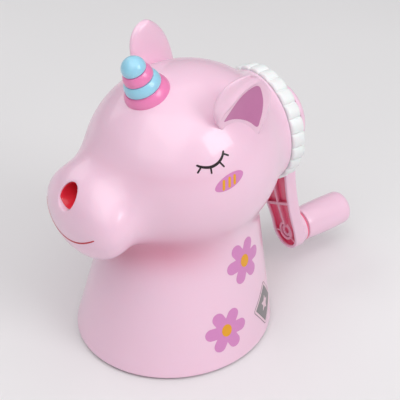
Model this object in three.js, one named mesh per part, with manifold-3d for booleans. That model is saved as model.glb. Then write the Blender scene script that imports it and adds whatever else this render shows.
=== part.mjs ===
// Hand-cranked pencil sharpener shaped as a unicorn's head and neck.
// Millimetres, +Z up. The nose points to -X, the crank is at +X, and the unicorn's left side is -Y.
// Pieces are built about the middle of the neck's rim (z = 0), and the last lines move the whole
// object so that its box is centred on the origin and its feet stand on z = 0.

import * as THREE from 'three';
import { mergeVertices } from 'three/addons/utils/BufferGeometryUtils.js';
import Module from 'manifold-3d';

const wasm = await Module();
wasm.setup();

// ---- driving dimensions -------------------------------------------------------------------------

const gap = 0.3;                 // left between pieces that touch, seat or slide

// neck: an oval cone that leans back a little as it rises
const baseLength = 73.5;
const baseWidth = 70;
const neckTopLength = 48.6;
const neckTopWidth = 43.3;
const neckHeight = 62;
const neckLean = 5.9;

// head: a skull and a snout melted together, and a round collar behind
const pencilHeight = 70;         // of the pencil's axis above the rim
const skullX = 4.5;
const skullDrop = 0.9;           // skull's centre below the pencil's axis
const skullLength = 70.8;
const skullWidth = 63.6;
const skullHeight = 65.7;
const snoutX = -34.4;
const snoutDrop = 9.5;
const snoutLength = 20.2;
const snoutWidth = 39.6;
const snoutHeight = 28;
const snoutBlend = 13;
const neckBlend = 4.3;
const collarRadius = 19.8;
const collarEnd = 35.8;
const collarRound = 1.2;
const collarBlend = 5;
const wall = 2.2;

// pencil hole and guide
const pencilRadius = 3.7;
const noseHoleRadius = pencilRadius + 0.45;
const guideBore = pencilRadius + 0.7;
const guideWall = 1.5;
const guideEnd = -17;
const guideEarX = -29;
const guideEarReach = guideBore + guideWall + 3.3;   // from the axis to each screw
const guideEarThickness = 2;

// horn: four stacked bands on one pin, leaning forward
const hornX = -10;
const hornLean = 25;             // degrees forward of upright
const hornBands = [0, 2.6, 6.3, 9.9];
const hornRadii = [7.6, 6.35, 5.1, 4.1];
const hornLength = 14.7;
const hornPinRadius = 1.5;
const hornPinHeadRadius = 4;
const hornTipCover = 2.6;        // solid left over the pin's end
const hornFootFlare = 0.35;      // how far the lowest band widens to the skull

// ears: leaf-shaped plates with a tongue that goes through the skull
const earX = 7.8;
const earY = 22.6;
const earHeight = 18.3;
const earHalfWidth = 11.2;
const earThickness = 3.2;
const earRound = 1.1;
const earTongueWidth = 8;
const earTongueThickness = 1.6;

// mane ring and cutter housing, which pull out of the collar as one cartridge
const maneRadius = collarRadius + 2.2;
const maneNotch = 1.1;           // depth between two lobes
const maneLobes = 24;
const maneThickness = 5.3;
const maneWeb = 2.5;
const housingWall = 2;
const housingFront = 20;
const flangeThickness = 3;
const bushWall = 2.7;

// rotor and cutter
const coneAngle = 10;            // degrees, half the pencil point's angle
const cutterRadius = 5.2;
const cutterLength = 20;
const cutterStart = -8;          // x where the cutter begins
const cutterFlutes = 10;
const cutterTwist = 100;         // degrees over its length
const ringTeeth = 28;
const pinionTeeth = 14;
const pinionWidth = 3.2;
const toothAddendum = 0.35;
const toothDedendum = 0.65;
const axleRadius = 1.2;
const shaftRadius = 2.5;
const shaftPinRadius = 0.8;
const plateThickness = 2.5;
const frontPlateRadius = 12.5;

// crank
const crankReach = 55.2;         // from the pencil's axis down to the knob's axis
const armThickness = 4.9;
const armBow = 11.1;             // how far the arm bends back on its way to the knob
const armTopRadius = 10.5;
const armEndRadius = 7.4;
const armRim = 1.5;
const armFloor = 1.5;
const armBoss = 1.9;
const armRibs = 4;
const armRibThickness = 1;
const armSpineThickness = 1.2;
const hubRadius = 12;
const hubThickness = 5.2;
const capHeight = 4.2;
const capRim = 0.6;              // straight edge under the dome
const capSkin = 1.6;
const capSpigotBore = 6;
const knobLength = 22.1;
const knobRadius = 6.76;
const knobPinRadius = 2;
const knobBarrel = 0.35;         // how much narrower the knob is near its ends
const knobEndRound = 2.6;
const knobPinShort = 4;          // the pin ends this far inside the knob's end

// base cover and feet
const coverFloor = 2;
const coverWall = 1.5;
const coverHeight = 10;
const footRadius = 4.3;
const footPlace = Math.min(baseLength, baseWidth) / 2 - 7.2;   // from the rim's middle to each foot
const footDrop = 1;              // how far the feet stand out below the rim

// screws
const screwRadius = 1;
const screwHeadRadius = 2;
const screwHeadHeight = 1.2;

// sides of round pieces, by their size, and the steps of the body's surface
const largeSides = 28;
const mediumSides = 18;
const smallSides = 12;
const tinySides = 8;
const bodyColumns = 36;
const bodyRows = 22;
const cavityColumns = 26;
const cavityRows = 15;

// ---- materials ----------------------------------------------------------------------------------

const plastic = (name, colour, roughness) => {
  const material = new THREE.MeshStandardMaterial({ color: colour, roughness, metalness: 0 });
  material.name = name;
  return material;
};
const metal = (name, colour, roughness) => {
  const material = new THREE.MeshStandardMaterial({ color: colour, roughness, metalness: 1 });
  material.name = name;
  return material;
};

// ---- helpers: solids ----------------------------------------------------------------------------

function toSolid(geometry) {
  const bare = geometry.clone();
  bare.deleteAttribute('normal');
  bare.deleteAttribute('uv');
  const merged = mergeVertices(bare, 1e-4);
  return new wasm.Manifold(new wasm.Mesh({
    numProp: 3,
    vertProperties: new Float32Array(merged.attributes.position.array),
    triVerts: new Uint32Array(merged.index.array),
  }));
}

function toGeometry(solid) {
  const mesh = solid.getMesh();
  const geometry = new THREE.BufferGeometry();
  geometry.setAttribute('position', new THREE.BufferAttribute(new Float32Array(mesh.vertProperties), 3));
  geometry.setIndex(new THREE.BufferAttribute(new Uint32Array(mesh.triVerts), 1));
  geometry.computeVertexNormals();
  return geometry;
}

const join = (first, ...others) => others.reduce((solid, other) => solid.add(other), first);
const cut = (first, ...others) => others.reduce((solid, other) => solid.subtract(other), first);

// the same solid on the other side of y = 0, with its triangles turned to face out again
function mirrored(geometry) {
  const copy = geometry.clone();
  copy.scale(1, -1, 1);
  const index = copy.index.array;
  for (let i = 0; i < index.length; i += 3) {
    [index[i], index[i + 1]] = [index[i + 1], index[i]];
  }
  copy.computeVertexNormals();
  return copy;
}

// A closed solid through rings of points, each ring going counter-clockwise as seen from the last
// one. A flat fan about the ring's middle closes each end.
function loft(rings) {
  const count = rings[0].length;
  const points = rings.flat();
  const index = [];
  for (let i = 0; i + 1 < rings.length; i += 1) {
    for (let j = 0; j < count; j += 1) {
      const a = i * count + j;
      const b = i * count + ((j + 1) % count);
      index.push(a, b, b + count, a, b + count, a + count);
    }
  }
  const middle = (ring) => ring.reduce((sum, p) => sum.add(p), new THREE.Vector3())
    .divideScalar(ring.length);
  const first = points.push(middle(rings[0])) - 1;
  const last = points.push(middle(rings[rings.length - 1])) - 1;
  const top = (rings.length - 1) * count;
  for (let j = 0; j < count; j += 1) {
    const next = (j + 1) % count;
    index.push(first, next, j);
    index.push(last, top + j, top + next);
  }
  const geometry = new THREE.BufferGeometry().setFromPoints(points);
  geometry.setIndex(index);
  return geometry;
}

// a profile of [radius, place] pairs turned about the local Z axis
function turned(profile, segments) {
  const points = profile.map(([radius, place]) => new THREE.Vector2(radius, place));
  return new THREE.LatheGeometry(points, segments).rotateX(Math.PI / 2);
}

const rodProfile = (radius, from, to) => [[0, from], [radius, from], [radius, to], [0, to]];
const tubeProfile = (inner, outer, from, to) => [
  [inner, from], [outer, from], [outer, to], [inner, to], [inner, from],
];

// local Z laid along a direction from a place; local X stays level or in the x-z plane
function along(origin, direction, sideways = new THREE.Vector3(0, 1, 0)) {
  const z = direction.clone().normalize();
  const x = new THREE.Vector3().crossVectors(sideways, z).normalize();
  const y = new THREE.Vector3().crossVectors(z, x);
  return new THREE.Matrix4().makeBasis(x, y, z).setPosition(origin);
}

const xAxis = new THREE.Vector3(1, 0, 0);

// solids about an axis that runs parallel to X through (y, z)
function rodX(radius, from, to, y = 0, z = pencilHeight, segments = mediumSides) {
  const frame = along(new THREE.Vector3(0, y, z), xAxis);
  return toSolid(turned(rodProfile(radius, from, to), segments).applyMatrix4(frame));
}

function turnedX(profile, segments = largeSides, z = pencilHeight) {
  const frame = along(new THREE.Vector3(0, 0, z), xAxis);
  return toSolid(turned(profile, segments).applyMatrix4(frame));
}

function block(x0, x1, y0, y1, z0, z1) {
  const box = new THREE.BoxGeometry(x1 - x0, y1 - y0, z1 - z0);
  return toSolid(box.translate((x0 + x1) / 2, (y0 + y1) / 2, (z0 + z1) / 2));
}

const group = new THREE.Group();

function addPiece(name, shape, material) {
  const geometry = shape.isBufferGeometry ? shape : toGeometry(shape);
  const mesh = new THREE.Mesh(geometry, material);
  mesh.name = name;
  group.add(mesh);
  return mesh;
}

// ---- the head and neck as one smooth surface ----------------------------------------------------

// Distance-like value of an oval or ellipsoid: below zero inside, above zero outside.
function oval(offsets, radii) {
  const scaled = Math.hypot(...offsets.map((value, i) => value / radii[i]));
  const steep = Math.hypot(...offsets.map((value, i) => value / radii[i] ** 2));
  return steep < 1e-9 ? -Math.min(...radii) : scaled * (scaled - 1) / steep;
}

// Joins two values with a fillet of the given size.
function melt(a, b, size) {
  const share = THREE.MathUtils.clamp(0.5 + 0.5 * (b - a) / size, 0, 1);
  return b * (1 - share) + a * share - size * share * (1 - share);
}

const neckAt = (z) => {
  const share = z / neckHeight;
  return {
    x: neckLean * share,
    rx: THREE.MathUtils.lerp(baseLength, neckTopLength, share) / 2,
    ry: THREE.MathUtils.lerp(baseWidth, neckTopWidth, share) / 2,
  };
};

function neckValue(x, y, z) {
  const section = neckAt(Math.min(z, neckHeight));
  const side = oval([x - section.x, y], [section.rx, section.ry]);
  return Math.max(side, z - pencilHeight);
}

function collarValue(x, y, z) {
  const half = (collarEnd - skullX) / 2;
  const lengthways = Math.abs(x - skullX - half) - half + collarRound;
  const sideways = Math.hypot(y, z - pencilHeight) - collarRadius + collarRound;
  const outside = Math.hypot(Math.max(lengthways, 0), Math.max(sideways, 0));
  return Math.min(Math.max(lengthways, sideways), 0) + outside - collarRound;
}

function bodyValue(x, y, z) {
  const skullZ = pencilHeight - skullDrop;
  const snoutZ = pencilHeight - snoutDrop;
  const skull = oval([x - skullX, y, z - skullZ], [skullLength / 2, skullWidth / 2, skullHeight / 2]);
  const snout = oval([x - snoutX, y, z - snoutZ], [snoutLength / 2, snoutWidth / 2, snoutHeight / 2]);
  const head = melt(melt(skull, snout, snoutBlend), collarValue(x, y, z), collarBlend);
  return melt(head, neckValue(x, y, z), neckBlend);
}

// Walks out from a start along a direction to where the body's value reaches a level.
function reach(start, direction, level = 0) {
  let near = 0;
  let far = 3 * pencilHeight;
  for (let i = 0; i < 40; i += 1) {
    const middle = (near + far) / 2;
    const p = start.clone().addScaledVector(direction, middle);
    if (bodyValue(p.x, p.y, p.z) < level) {
      near = middle;
    } else {
      far = middle;
    }
  }
  return start.clone().addScaledVector(direction, near);
}

// The body grown by a level, closed flat at the given height. Each column of points climbs from the
// rim to the crown along rays from the skull's middle.
function bodySolid(level, columns, rows, bottom) {
  const centre = new THREE.Vector3(skullX, 0, pencilHeight - skullDrop);
  const rings = [[], []];
  for (let j = 0; j < columns; j += 1) {
    const turn = 2 * Math.PI * j / columns;
    const level0 = new THREE.Vector3(centre.x, 0, 0);
    const outward = new THREE.Vector3(Math.cos(turn), Math.sin(turn), 0);
    const rim = reach(level0, outward, level);
    rings[1].push(rim);
    rings[0].push(rim.clone().setZ(bottom));
    const lowest = Math.atan2(-centre.z, rim.distanceTo(level0));
    for (let i = 1; i < rows; i += 1) {
      const climb = THREE.MathUtils.lerp(lowest, Math.PI / 2, i / rows);
      const direction = outward.clone().multiplyScalar(Math.cos(climb)).setZ(Math.sin(climb));
      rings[i + 1] = rings[i + 1] ?? [];
      rings[i + 1].push(reach(centre, direction, level));
    }
  }
  if (bottom === 0) {
    rings.shift();
  }
  return toSolid(loft(rings));
}

const outerBody = bodySolid(0, bodyColumns, bodyRows, 0);
const innerBody = bodySolid(-wall, cavityColumns, cavityRows, -1);
const clearOfBody = bodySolid(gap, bodyColumns, bodyRows, 0);
const clearInside = bodySolid(-wall - gap, cavityColumns, cavityRows, 0);
const midWall = bodySolid(-wall / 2, cavityColumns, cavityRows, 0);

// ---- horn and ear frames, found on the skull's surface ------------------------------------------

const up = new THREE.Vector3(0, 0, 1);
const onSkull = (x, y) => reach(new THREE.Vector3(x, y, pencilHeight), up);

const hornTurn = hornLean * Math.PI / 180;
const hornDirection = new THREE.Vector3(-Math.sin(hornTurn), 0, Math.cos(hornTurn));
const hornFrame = along(onSkull(hornX, 0), hornDirection);
const hornSolid = (profile, segments = mediumSides) => (
  toSolid(turned(profile, segments).applyMatrix4(hornFrame))
);

// the left ear's plate lies nearly in the x-z plane and leans out a little
const earUp = new THREE.Vector3(0.235, -0.165, 0.958).normalize();
const earOut = new THREE.Vector3(-0.184, -0.975, -0.122).normalize();
const earAcross = new THREE.Vector3().crossVectors(earUp, earOut).normalize();
const earFrame = new THREE.Matrix4()
  .makeBasis(earAcross, earUp, new THREE.Vector3().crossVectors(earAcross, earUp))
  .setPosition(onSkull(earX, -earY));

// ---- body pieces --------------------------------------------------------------------------------

const guideOuter = guideBore + guideWall;
const guideScrewSides = [-1, 1];

function earTongue(grow) {
  const box = new THREE.BoxGeometry(
    earTongueWidth + 2 * grow,
    4 * wall + 2 * grow,
    earTongueThickness + 2 * grow,
  );
  return toSolid(box.translate(0, -1.2 * wall, 0).applyMatrix4(earFrame));
}

function bodyShell() {
  const bosses = guideScrewSides.map((side) => {
    const y = side * guideEarReach;
    return rodX(3, snoutX - snoutLength, guideEarX - gap, y, pencilHeight, smallSides).intersect(midWall);
  });
  const pilots = guideScrewSides.map((side) => (
    rodX(screwRadius + gap, guideEarX - 7, guideEarX, side * guideEarReach, pencilHeight, tinySides)
  ));
  const shell = join(cut(outerBody, innerBody), ...bosses);
  const tongue = earTongue(gap);
  return cut(
    shell,
    rodX(noseHoleRadius, -80, guideEarX),
    rodX(collarRadius - wall, skullX + skullLength / 4, collarEnd + 5, 0, pencilHeight, largeSides),
    rodX(collarRadius + 5, collarEnd, collarEnd + 20),
    hornSolid(rodProfile(hornPinRadius + gap, -12, 4), smallSides),
    tongue,
    toSolid(mirrored(toGeometry(tongue))),
    ...pilots,
  );
}

function pencilGuide() {
  const tube = rodX(guideOuter, -80, guideEnd);
  const height = 4;
  const width = guideEarReach + 3.3;
  const ears = block(guideEarX, guideEarX + guideEarThickness, -width, width,
    pencilHeight - height, pencilHeight + height);
  const holes = guideScrewSides.map((side) => (
    rodX(screwRadius + gap, guideEarX - 1, guideEarX + 5, side * guideEarReach, pencilHeight, tinySides)
  ));
  const outside = join(tube, ears).intersect(clearInside);
  return cut(outside, rodX(guideBore, -90, guideEnd + 1), ...holes);
}

// a screw along X whose head sits at headX; its shank goes towards the sign of reachX
function screwX(headX, reachX, y, z, radius = screwRadius, headRadius = screwHeadRadius) {
  const forward = Math.sign(reachX);
  const headEnd = headX - forward * screwHeadHeight;
  const head = rodX(headRadius, Math.min(headX, headEnd), Math.max(headX, headEnd), y, z, smallSides);
  const tip = headX + reachX;
  const shank = rodX(radius, Math.min(headX, tip) - (forward > 0 ? 0.1 : 0),
    Math.max(headX, tip) + (forward > 0 ? 0 : 0.1), y, z, tinySides);
  const slotX = headEnd + forward * 0.25;
  const slot = block(Math.min(headEnd, slotX) - 0.2, Math.max(headEnd, slotX) + 0.2,
    y - headRadius * 0.7, y + headRadius * 0.7, z - 0.3, z + 0.3);
  return cut(join(head, shank), slot);
}

const shellPink = () => plastic('shell_pink', 0xf4c6dc, 0.22);
const guideRed = () => plastic('guide_red', 0xcd213b, 0.35);
const screwSteel = () => metal('screw_steel', 0xb8b8bc, 0.35);

addPiece('body_shell', bodyShell(), shellPink());
addPiece('pencil_guide', pencilGuide(), guideRed());
guideScrewSides.forEach((side) => {
  const name = side < 0 ? 'guide_screw_left' : 'guide_screw_right';
  const headX = guideEarX + guideEarThickness + gap;
  addPiece(name, screwX(headX, -6, side * guideEarReach, pencilHeight), screwSteel());
});

// ---- horn ---------------------------------------------------------------------------------------

const hornBore = hornPinRadius + gap;
const bandPlaces = [...hornBands, hornLength];

// one band: its wall bulges by a tenth of its height
function hornBand(k) {
  const from = bandPlaces[k] + gap / 2;
  const to = bandPlaces[k + 1] - gap / 2;
  const low = hornRadii[k];
  const high = hornRadii[k + 1];
  const bulge = 0.1 * (to - from);
  const profile = [[hornBore, from], [low - 0.35, from]];
  for (const share of [0.12, 0.5, 0.88]) {
    const radius = THREE.MathUtils.lerp(low, high, share) + bulge * Math.sin(Math.PI * share);
    profile.push([radius, THREE.MathUtils.lerp(from, to, share)]);
  }
  profile.push([high - 0.1, to], [hornBore, to], [hornBore, from]);
  return hornSolid(profile);
}

// the lowest band reaches down to the skull all round and stops just clear of it
const hornFootDepth = 3;

function hornFoot() {
  const to = bandPlaces[1] - gap / 2;
  const profile = [
    [hornBore, -hornFootDepth], [hornRadii[0] + 0.2, -hornFootDepth],
    [hornRadii[0] + hornFootFlare, 0.2 * to], [hornRadii[0] + 0.1, 0.5 * to], [hornRadii[1] - 0.1, to],
    [hornBore, to], [hornBore, -hornFootDepth],
  ];
  return cut(hornSolid(profile), clearOfBody);
}

function hornTip() {
  const from = bandPlaces[3] + gap / 2;
  const radius = hornRadii[3];
  const profile = [[hornBore, from], [radius - 0.2, from]];
  for (let i = 0; i <= 4; i += 1) {
    const turn = Math.PI / 2 * i / 4;
    const place = hornLength - radius * 0.95 * (1 - Math.sin(turn));
    profile.push([i === 4 ? 0 : radius * Math.cos(turn), place]);
  }
  const boreEnd = hornLength - hornTipCover;
  profile.push([0, boreEnd], [hornBore, boreEnd], [hornBore, from]);
  return hornSolid(profile);
}

function hornPin() {
  const headTop = -wall * 1.5;
  const end = hornLength - hornTipCover - gap;
  return hornSolid([
    [0, headTop - 1.5], [hornPinHeadRadius, headTop - 1.5], [hornPinHeadRadius, headTop],
    [hornPinRadius, headTop],
    [hornPinRadius, end], [0, end],
  ], smallSides);
}

const hornPink = () => plastic('horn_pink', 0xf796ca, 0.25);
const hornBlue = () => plastic('horn_blue', 0xa8dcf2, 0.25);

addPiece('horn_foot_pink', hornFoot(), hornPink());
addPiece('horn_band_blue', hornBand(1), hornBlue());
addPiece('horn_band_pink', hornBand(2), hornPink());
addPiece('horn_tip_blue', hornTip(), hornBlue());
addPiece('horn_pin', hornPin(), shellPink());

// ---- ears ---------------------------------------------------------------------------------------

// Half the leaf's width at a height: full at the base, rounding over to nothing at the tip.
const earHalfAt = (height) => (
  (earHalfWidth - earRound) * (1 - (height / (earHeight - earRound)) ** 3.35) ** 0.6
);

function leftEar() {
  const outline = [];
  const steps = 7;
  for (let i = 0; i <= steps; i += 1) {
    const height = (earHeight - earRound) * Math.sin(Math.PI / 2 * i / steps);
    outline.push(new THREE.Vector2(earHalfAt(height), height));
  }
  for (let i = steps - 1; i >= 0; i -= 1) {
    const height = (earHeight - earRound) * Math.sin(Math.PI / 2 * i / steps);
    outline.push(new THREE.Vector2(-earHalfAt(height), height));
  }
  const buried = -3.5 * earThickness;
  outline.push(new THREE.Vector2(-earHalfAt(0), buried), new THREE.Vector2(earHalfAt(0), buried));
  const plate = new THREE.ExtrudeGeometry(new THREE.Shape(outline), {
    depth: earThickness - 2 * earRound,
    bevelEnabled: true,
    bevelSize: earRound,
    bevelThickness: earRound,
    bevelSegments: 2,
    curveSegments: 1,
  });
  plate.translate(0, 0, -earThickness / 2 + earRound).applyMatrix4(earFrame);
  return join(cut(toSolid(plate), clearOfBody), earTongue(0));
}

const earGeometry = toGeometry(leftEar());
addPiece('ear_left', earGeometry, shellPink());
addPiece('ear_right', mirrored(earGeometry), shellPink());

// ---- cartridge: mane ring, cutter housing, ring gear, bush ---------------------------------------

const housingRadius = collarRadius - wall - 2 * gap;
const housingInner = housingRadius - housingWall;
const maneFront = collarEnd + gap;
const maneBack = maneFront + maneThickness;
const webFront = maneBack - maneWeb;
const housingEnd = webFront - gap;
const bushBore = shaftRadius + gap;
const bushRadius = bushBore + bushWall;
const bushFlangeRadius = bushRadius + 2;
const maneScrewPlace = bushFlangeRadius + screwHeadRadius + gap;
const gearScrewPlace = housingRadius - screwHeadRadius - 0.6;

const spots = (count, start) => Array.from({ length: count }, (_, i) => start + 2 * Math.PI * i / count);
const maneScrewTurns = spots(2, 0);
const gearScrewTurns = spots(3, Math.PI / 6);

const rodAt = (turn, place, radius, from, to) => (
  rodX(radius, from, to, place * Math.cos(turn), pencilHeight + place * Math.sin(turn), tinySides)
);

// an outline in the y-z plane made into a solid from x = from to x = to
function extrudedX(outline, from, to) {
  const shape = new THREE.Shape(outline.map(([y, z]) => new THREE.Vector2(y, z)));
  const solid = new THREE.ExtrudeGeometry(shape, { depth: to - from, bevelEnabled: false });
  const frame = new THREE.Matrix4().makeBasis(
    new THREE.Vector3(0, 1, 0),
    new THREE.Vector3(0, 0, 1),
    xAxis,
  ).setPosition(from, 0, pencilHeight);
  return toSolid(solid.applyMatrix4(frame));
}

function maneRing() {
  const outline = [];
  const steps = maneLobes * 4;
  for (let i = 0; i < steps; i += 1) {
    const turn = 2 * Math.PI * i / steps;
    const lobe = Math.abs(Math.sin(maneLobes * turn / 2)) ** 0.6;
    const radius = maneRadius - maneNotch * (1 - lobe);
    outline.push([radius * Math.cos(turn), radius * Math.sin(turn)]);
  }
  const pockets = maneScrewTurns.map((turn) => (
    rodAt(turn, maneScrewPlace, screwHeadRadius + gap, maneBack - screwHeadHeight - 0.2, maneBack + 1)
  ));
  const holes = maneScrewTurns.map((turn) => (
    rodAt(turn, maneScrewPlace, screwRadius + gap, webFront - 1, maneBack + 1)
  ));
  return cut(
    extrudedX(outline, maneFront, maneBack),
    rodX(housingRadius + gap, maneFront - 1, webFront, 0, pencilHeight, largeSides),
    rodX(bushRadius + gap, webFront - 1, maneBack + 1),
    ...pockets,
    ...holes,
  );
}

function cutterHousing() {
  const lip = housingEnd - flangeThickness;
  const body = turnedX([
    [gearScrewPlace - screwHeadRadius - 0.2, housingFront], [housingRadius, housingFront],
    [housingRadius, housingEnd], [bushFlangeRadius + gap, housingEnd], [bushFlangeRadius + gap, lip],
    [housingInner, lip], [housingInner, housingFront + housingWall],
    [gearScrewPlace - screwHeadRadius - 0.2, housingFront + housingWall],
    [gearScrewPlace - screwHeadRadius - 0.2, housingFront],
  ]);
  return cut(
    body,
    ...maneScrewTurns.map((turn) => rodAt(turn, maneScrewPlace, screwRadius + gap, lip - 1, housingEnd + 1)),
    ...gearScrewTurns.map((turn) => (
      rodAt(turn, gearScrewPlace, screwRadius + gap, housingFront - 1, housingFront + housingWall + 1)
    )),
  );
}

// ---- cutter frame: its axis leans so that its lower edge follows the pencil's point ---------------

const tilt = coneAngle * Math.PI / 180;
const cutterOffset = pencilRadius + 0.2 + cutterRadius;
const cutterOrigin = new THREE.Vector3(cutterStart, 0, pencilHeight + cutterOffset);
const cutterDirection = new THREE.Vector3(Math.cos(tilt), 0, -Math.sin(tilt));
const cutterFrame = along(cutterOrigin, cutterDirection);
const pinionStart = cutterLength + 1.2;
const pinionMiddle = pinionStart + pinionWidth / 2;
const gearOffset = cutterOffset - pinionMiddle * Math.sin(tilt);
const toothModule = 2 * gearOffset / (ringTeeth - pinionTeeth);
const ringPitch = toothModule * ringTeeth / 2;
const pinionPitch = toothModule * pinionTeeth / 2;
const gearFront = cutterStart + (cutterLength + 1) * Math.cos(tilt) + 0.5;
const gearBack = housingFront - gap;

// Outline of a gear: each tooth is narrow at its top. First tooth's middle lies at angle start.
function gearOutline(teeth, tipRadius, rootRadius, start) {
  const points = [];
  const pitch = 2 * Math.PI / teeth;
  for (let i = 0; i < teeth; i += 1) {
    const middle = start + i * pitch;
    points.push([rootRadius, middle - 0.22 * pitch], [tipRadius, middle - 0.1 * pitch]);
    points.push([tipRadius, middle + 0.1 * pitch], [rootRadius, middle + 0.22 * pitch]);
  }
  return points.map(([radius, turn]) => [radius * Math.cos(turn), radius * Math.sin(turn)]);
}

function ringGear() {
  const halfPitch = Math.PI / ringTeeth;
  const hole = gearOutline(ringTeeth, ringPitch - toothAddendum, ringPitch + toothDedendum,
    Math.PI / 2 + halfPitch);
  return cut(
    rodX(housingRadius, gearFront, gearBack, 0, pencilHeight, largeSides),
    extrudedX(hole, gearFront - 1, gearBack + 1),
    ...gearScrewTurns.map((turn) => (
      rodAt(turn, gearScrewPlace, screwRadius + gap, gearFront - 1, gearBack + 1)
    )),
  );
}

function shaftBush() {
  const front = housingEnd - flangeThickness - 2.5;
  return turnedX([
    [bushBore, front], [bushRadius, front], [bushRadius, housingEnd - flangeThickness + gap],
    [bushFlangeRadius, housingEnd - flangeThickness + gap], [bushFlangeRadius, housingEnd],
    [bushRadius, housingEnd], [bushRadius, maneBack - 0.2], [bushBore, maneBack - 0.2], [bushBore, front],
  ], mediumSides);
}

const maneWhite = () => plastic('mane_white', 0xf0f0f0, 0.4);
const housingGrey = () => plastic('housing_white', 0xe4e2e4, 0.45);
const bushBrass = () => metal('bush_brass', 0xc9a45c, 0.35);

addPiece('mane_ring', maneRing(), maneWhite());
addPiece('cutter_housing', cutterHousing(), housingGrey());
addPiece('ring_gear', ringGear(), housingGrey());
addPiece('shaft_bush', shaftBush(), bushBrass());
maneScrewTurns.forEach((turn, i) => {
  const y = maneScrewPlace * Math.cos(turn);
  const z = pencilHeight + maneScrewPlace * Math.sin(turn);
  const headX = maneBack - screwHeadHeight - 0.1 + 0.05;
  addPiece(`mane_screw_${i + 1}`, screwX(headX, -4, y, z), screwSteel());
});
gearScrewTurns.forEach((turn, i) => {
  const y = gearScrewPlace * Math.cos(turn);
  const z = pencilHeight + gearScrewPlace * Math.sin(turn);
  const length = housingFront + housingWall - gearFront;
  addPiece(`gear_screw_${i + 1}`, screwX(gearFront - gap, length, y, z), screwSteel());
});

// ---- rotor and cutter -----------------------------------------------------------------------------

const rearPlateFront = cutterStart + (pinionStart + pinionWidth) * Math.cos(tilt)
  + (pinionPitch + 1) * Math.sin(tilt) + 0.4;
const rearPlateBack = rearPlateFront + plateThickness + 0.5;
const rotorHubEnd = rearPlateBack + 6.8;
const frontPlateFront = cutterStart - 5;
const frontPlateBack = frontPlateFront + plateThickness;
const axleEnd = (rearPlateBack - 1.4 - cutterStart) / Math.cos(tilt);
const shaftPinX = rearPlateBack + 3.8;
const cutterSolid = (profile, segments = smallSides) => (
  toSolid(turned(profile, segments).applyMatrix4(cutterFrame))
);

function cutterCarrier() {
  const barOuter = ringPitch - toothAddendum - 1.4;
  const barInner = guideBore + 1;
  const bars = [-50, -130].map((degrees) => {
    const bar = new THREE.BoxGeometry(rearPlateFront - frontPlateBack + 1, barOuter - barInner, 5);
    bar.translate((rearPlateFront + frontPlateBack) / 2, (barOuter + barInner) / 2, 0);
    bar.rotateX(degrees * Math.PI / 180);
    return toSolid(bar.translate(0, 0, pencilHeight));
  });
  const frame = join(
    rodX(frontPlateRadius, frontPlateFront, frontPlateBack),
    rodX(ringPitch - toothAddendum - 0.9, rearPlateFront, rearPlateBack),
    rodX(shaftRadius * 2, rearPlateBack - 0.5, rotorHubEnd),
    ...bars,
  );
  return cut(
    frame,
    rodX(guideBore, frontPlateFront - 1, frontPlateBack + 1),
    rodX(shaftRadius + gap, rearPlateBack + 0.8, rotorHubEnd + 1),
    cutterSolid(rodProfile(axleRadius + gap, -9, axleEnd + gap)),
    crossHole(shaftPinRadius + gap, shaftRadius * 2 + 1),
  );
}

// a rod across the shaft, up and down
function crossHole(radius, half) {
  const frame = along(new THREE.Vector3(shaftPinX, 0, pencilHeight), up);
  return toSolid(turned(rodProfile(radius, -half, half), tinySides).applyMatrix4(frame));
}

function helicalCutter() {
  const rings = [];
  const steps = 5;
  for (let i = 0; i <= steps; i += 1) {
    const ring = [];
    const place = cutterLength * i / steps;
    for (let k = 0; k < cutterFlutes * 2; k += 1) {
      const turn = Math.PI * k / cutterFlutes + cutterTwist * Math.PI / 180 * i / steps;
      const radius = k % 2 === 0 ? cutterRadius : cutterRadius - 0.8;
      ring.push(new THREE.Vector3(radius * Math.cos(turn), radius * Math.sin(turn), place));
    }
    rings.push(ring);
  }
  const body = toSolid(loft(rings).applyMatrix4(cutterFrame));
  return cut(body, cutterSolid(rodProfile(axleRadius + gap, -1, cutterLength + 1)));
}

// the pinion widens towards the crank, so its outermost line runs level along the ring's teeth
function cutterPinion() {
  const rings = [-0.5, 0.5].map((share) => {
    const grow = 1 + share * pinionWidth * Math.tan(tilt) / pinionPitch;
    const outline = gearOutline(pinionTeeth, pinionPitch + toothAddendum, pinionPitch - toothDedendum, 0);
    const place = pinionMiddle + share * pinionWidth;
    return outline.map(([a, b]) => new THREE.Vector3(-a * grow, -b * grow, place));
  });
  const body = toSolid(loft(rings).applyMatrix4(cutterFrame));
  return cut(body, cutterSolid(rodProfile(axleRadius + gap, pinionStart - 1, pinionStart + pinionWidth + 1)));
}

function cutterAxle() {
  const headBack = (frontPlateFront - cutterStart) / Math.cos(tilt) - 0.75;
  return cutterSolid([
    [0, headBack - 1.2], [2.2, headBack - 1.2], [2.2, headBack], [axleRadius, headBack],
    [axleRadius, axleEnd], [0, axleEnd],
  ]);
}

const cutterSteel = () => metal('cutter_steel', 0x8c8f94, 0.3);
const carrierGrey = () => metal('carrier_zinc', 0xa6a6a8, 0.45);

addPiece('cutter_carrier', cutterCarrier(), carrierGrey());
addPiece('cutter_axle', cutterAxle(), screwSteel());
addPiece('helical_cutter', helicalCutter(), cutterSteel());
addPiece('cutter_pinion', cutterPinion(), cutterSteel());

// ---- crank ----------------------------------------------------------------------------------------

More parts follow.
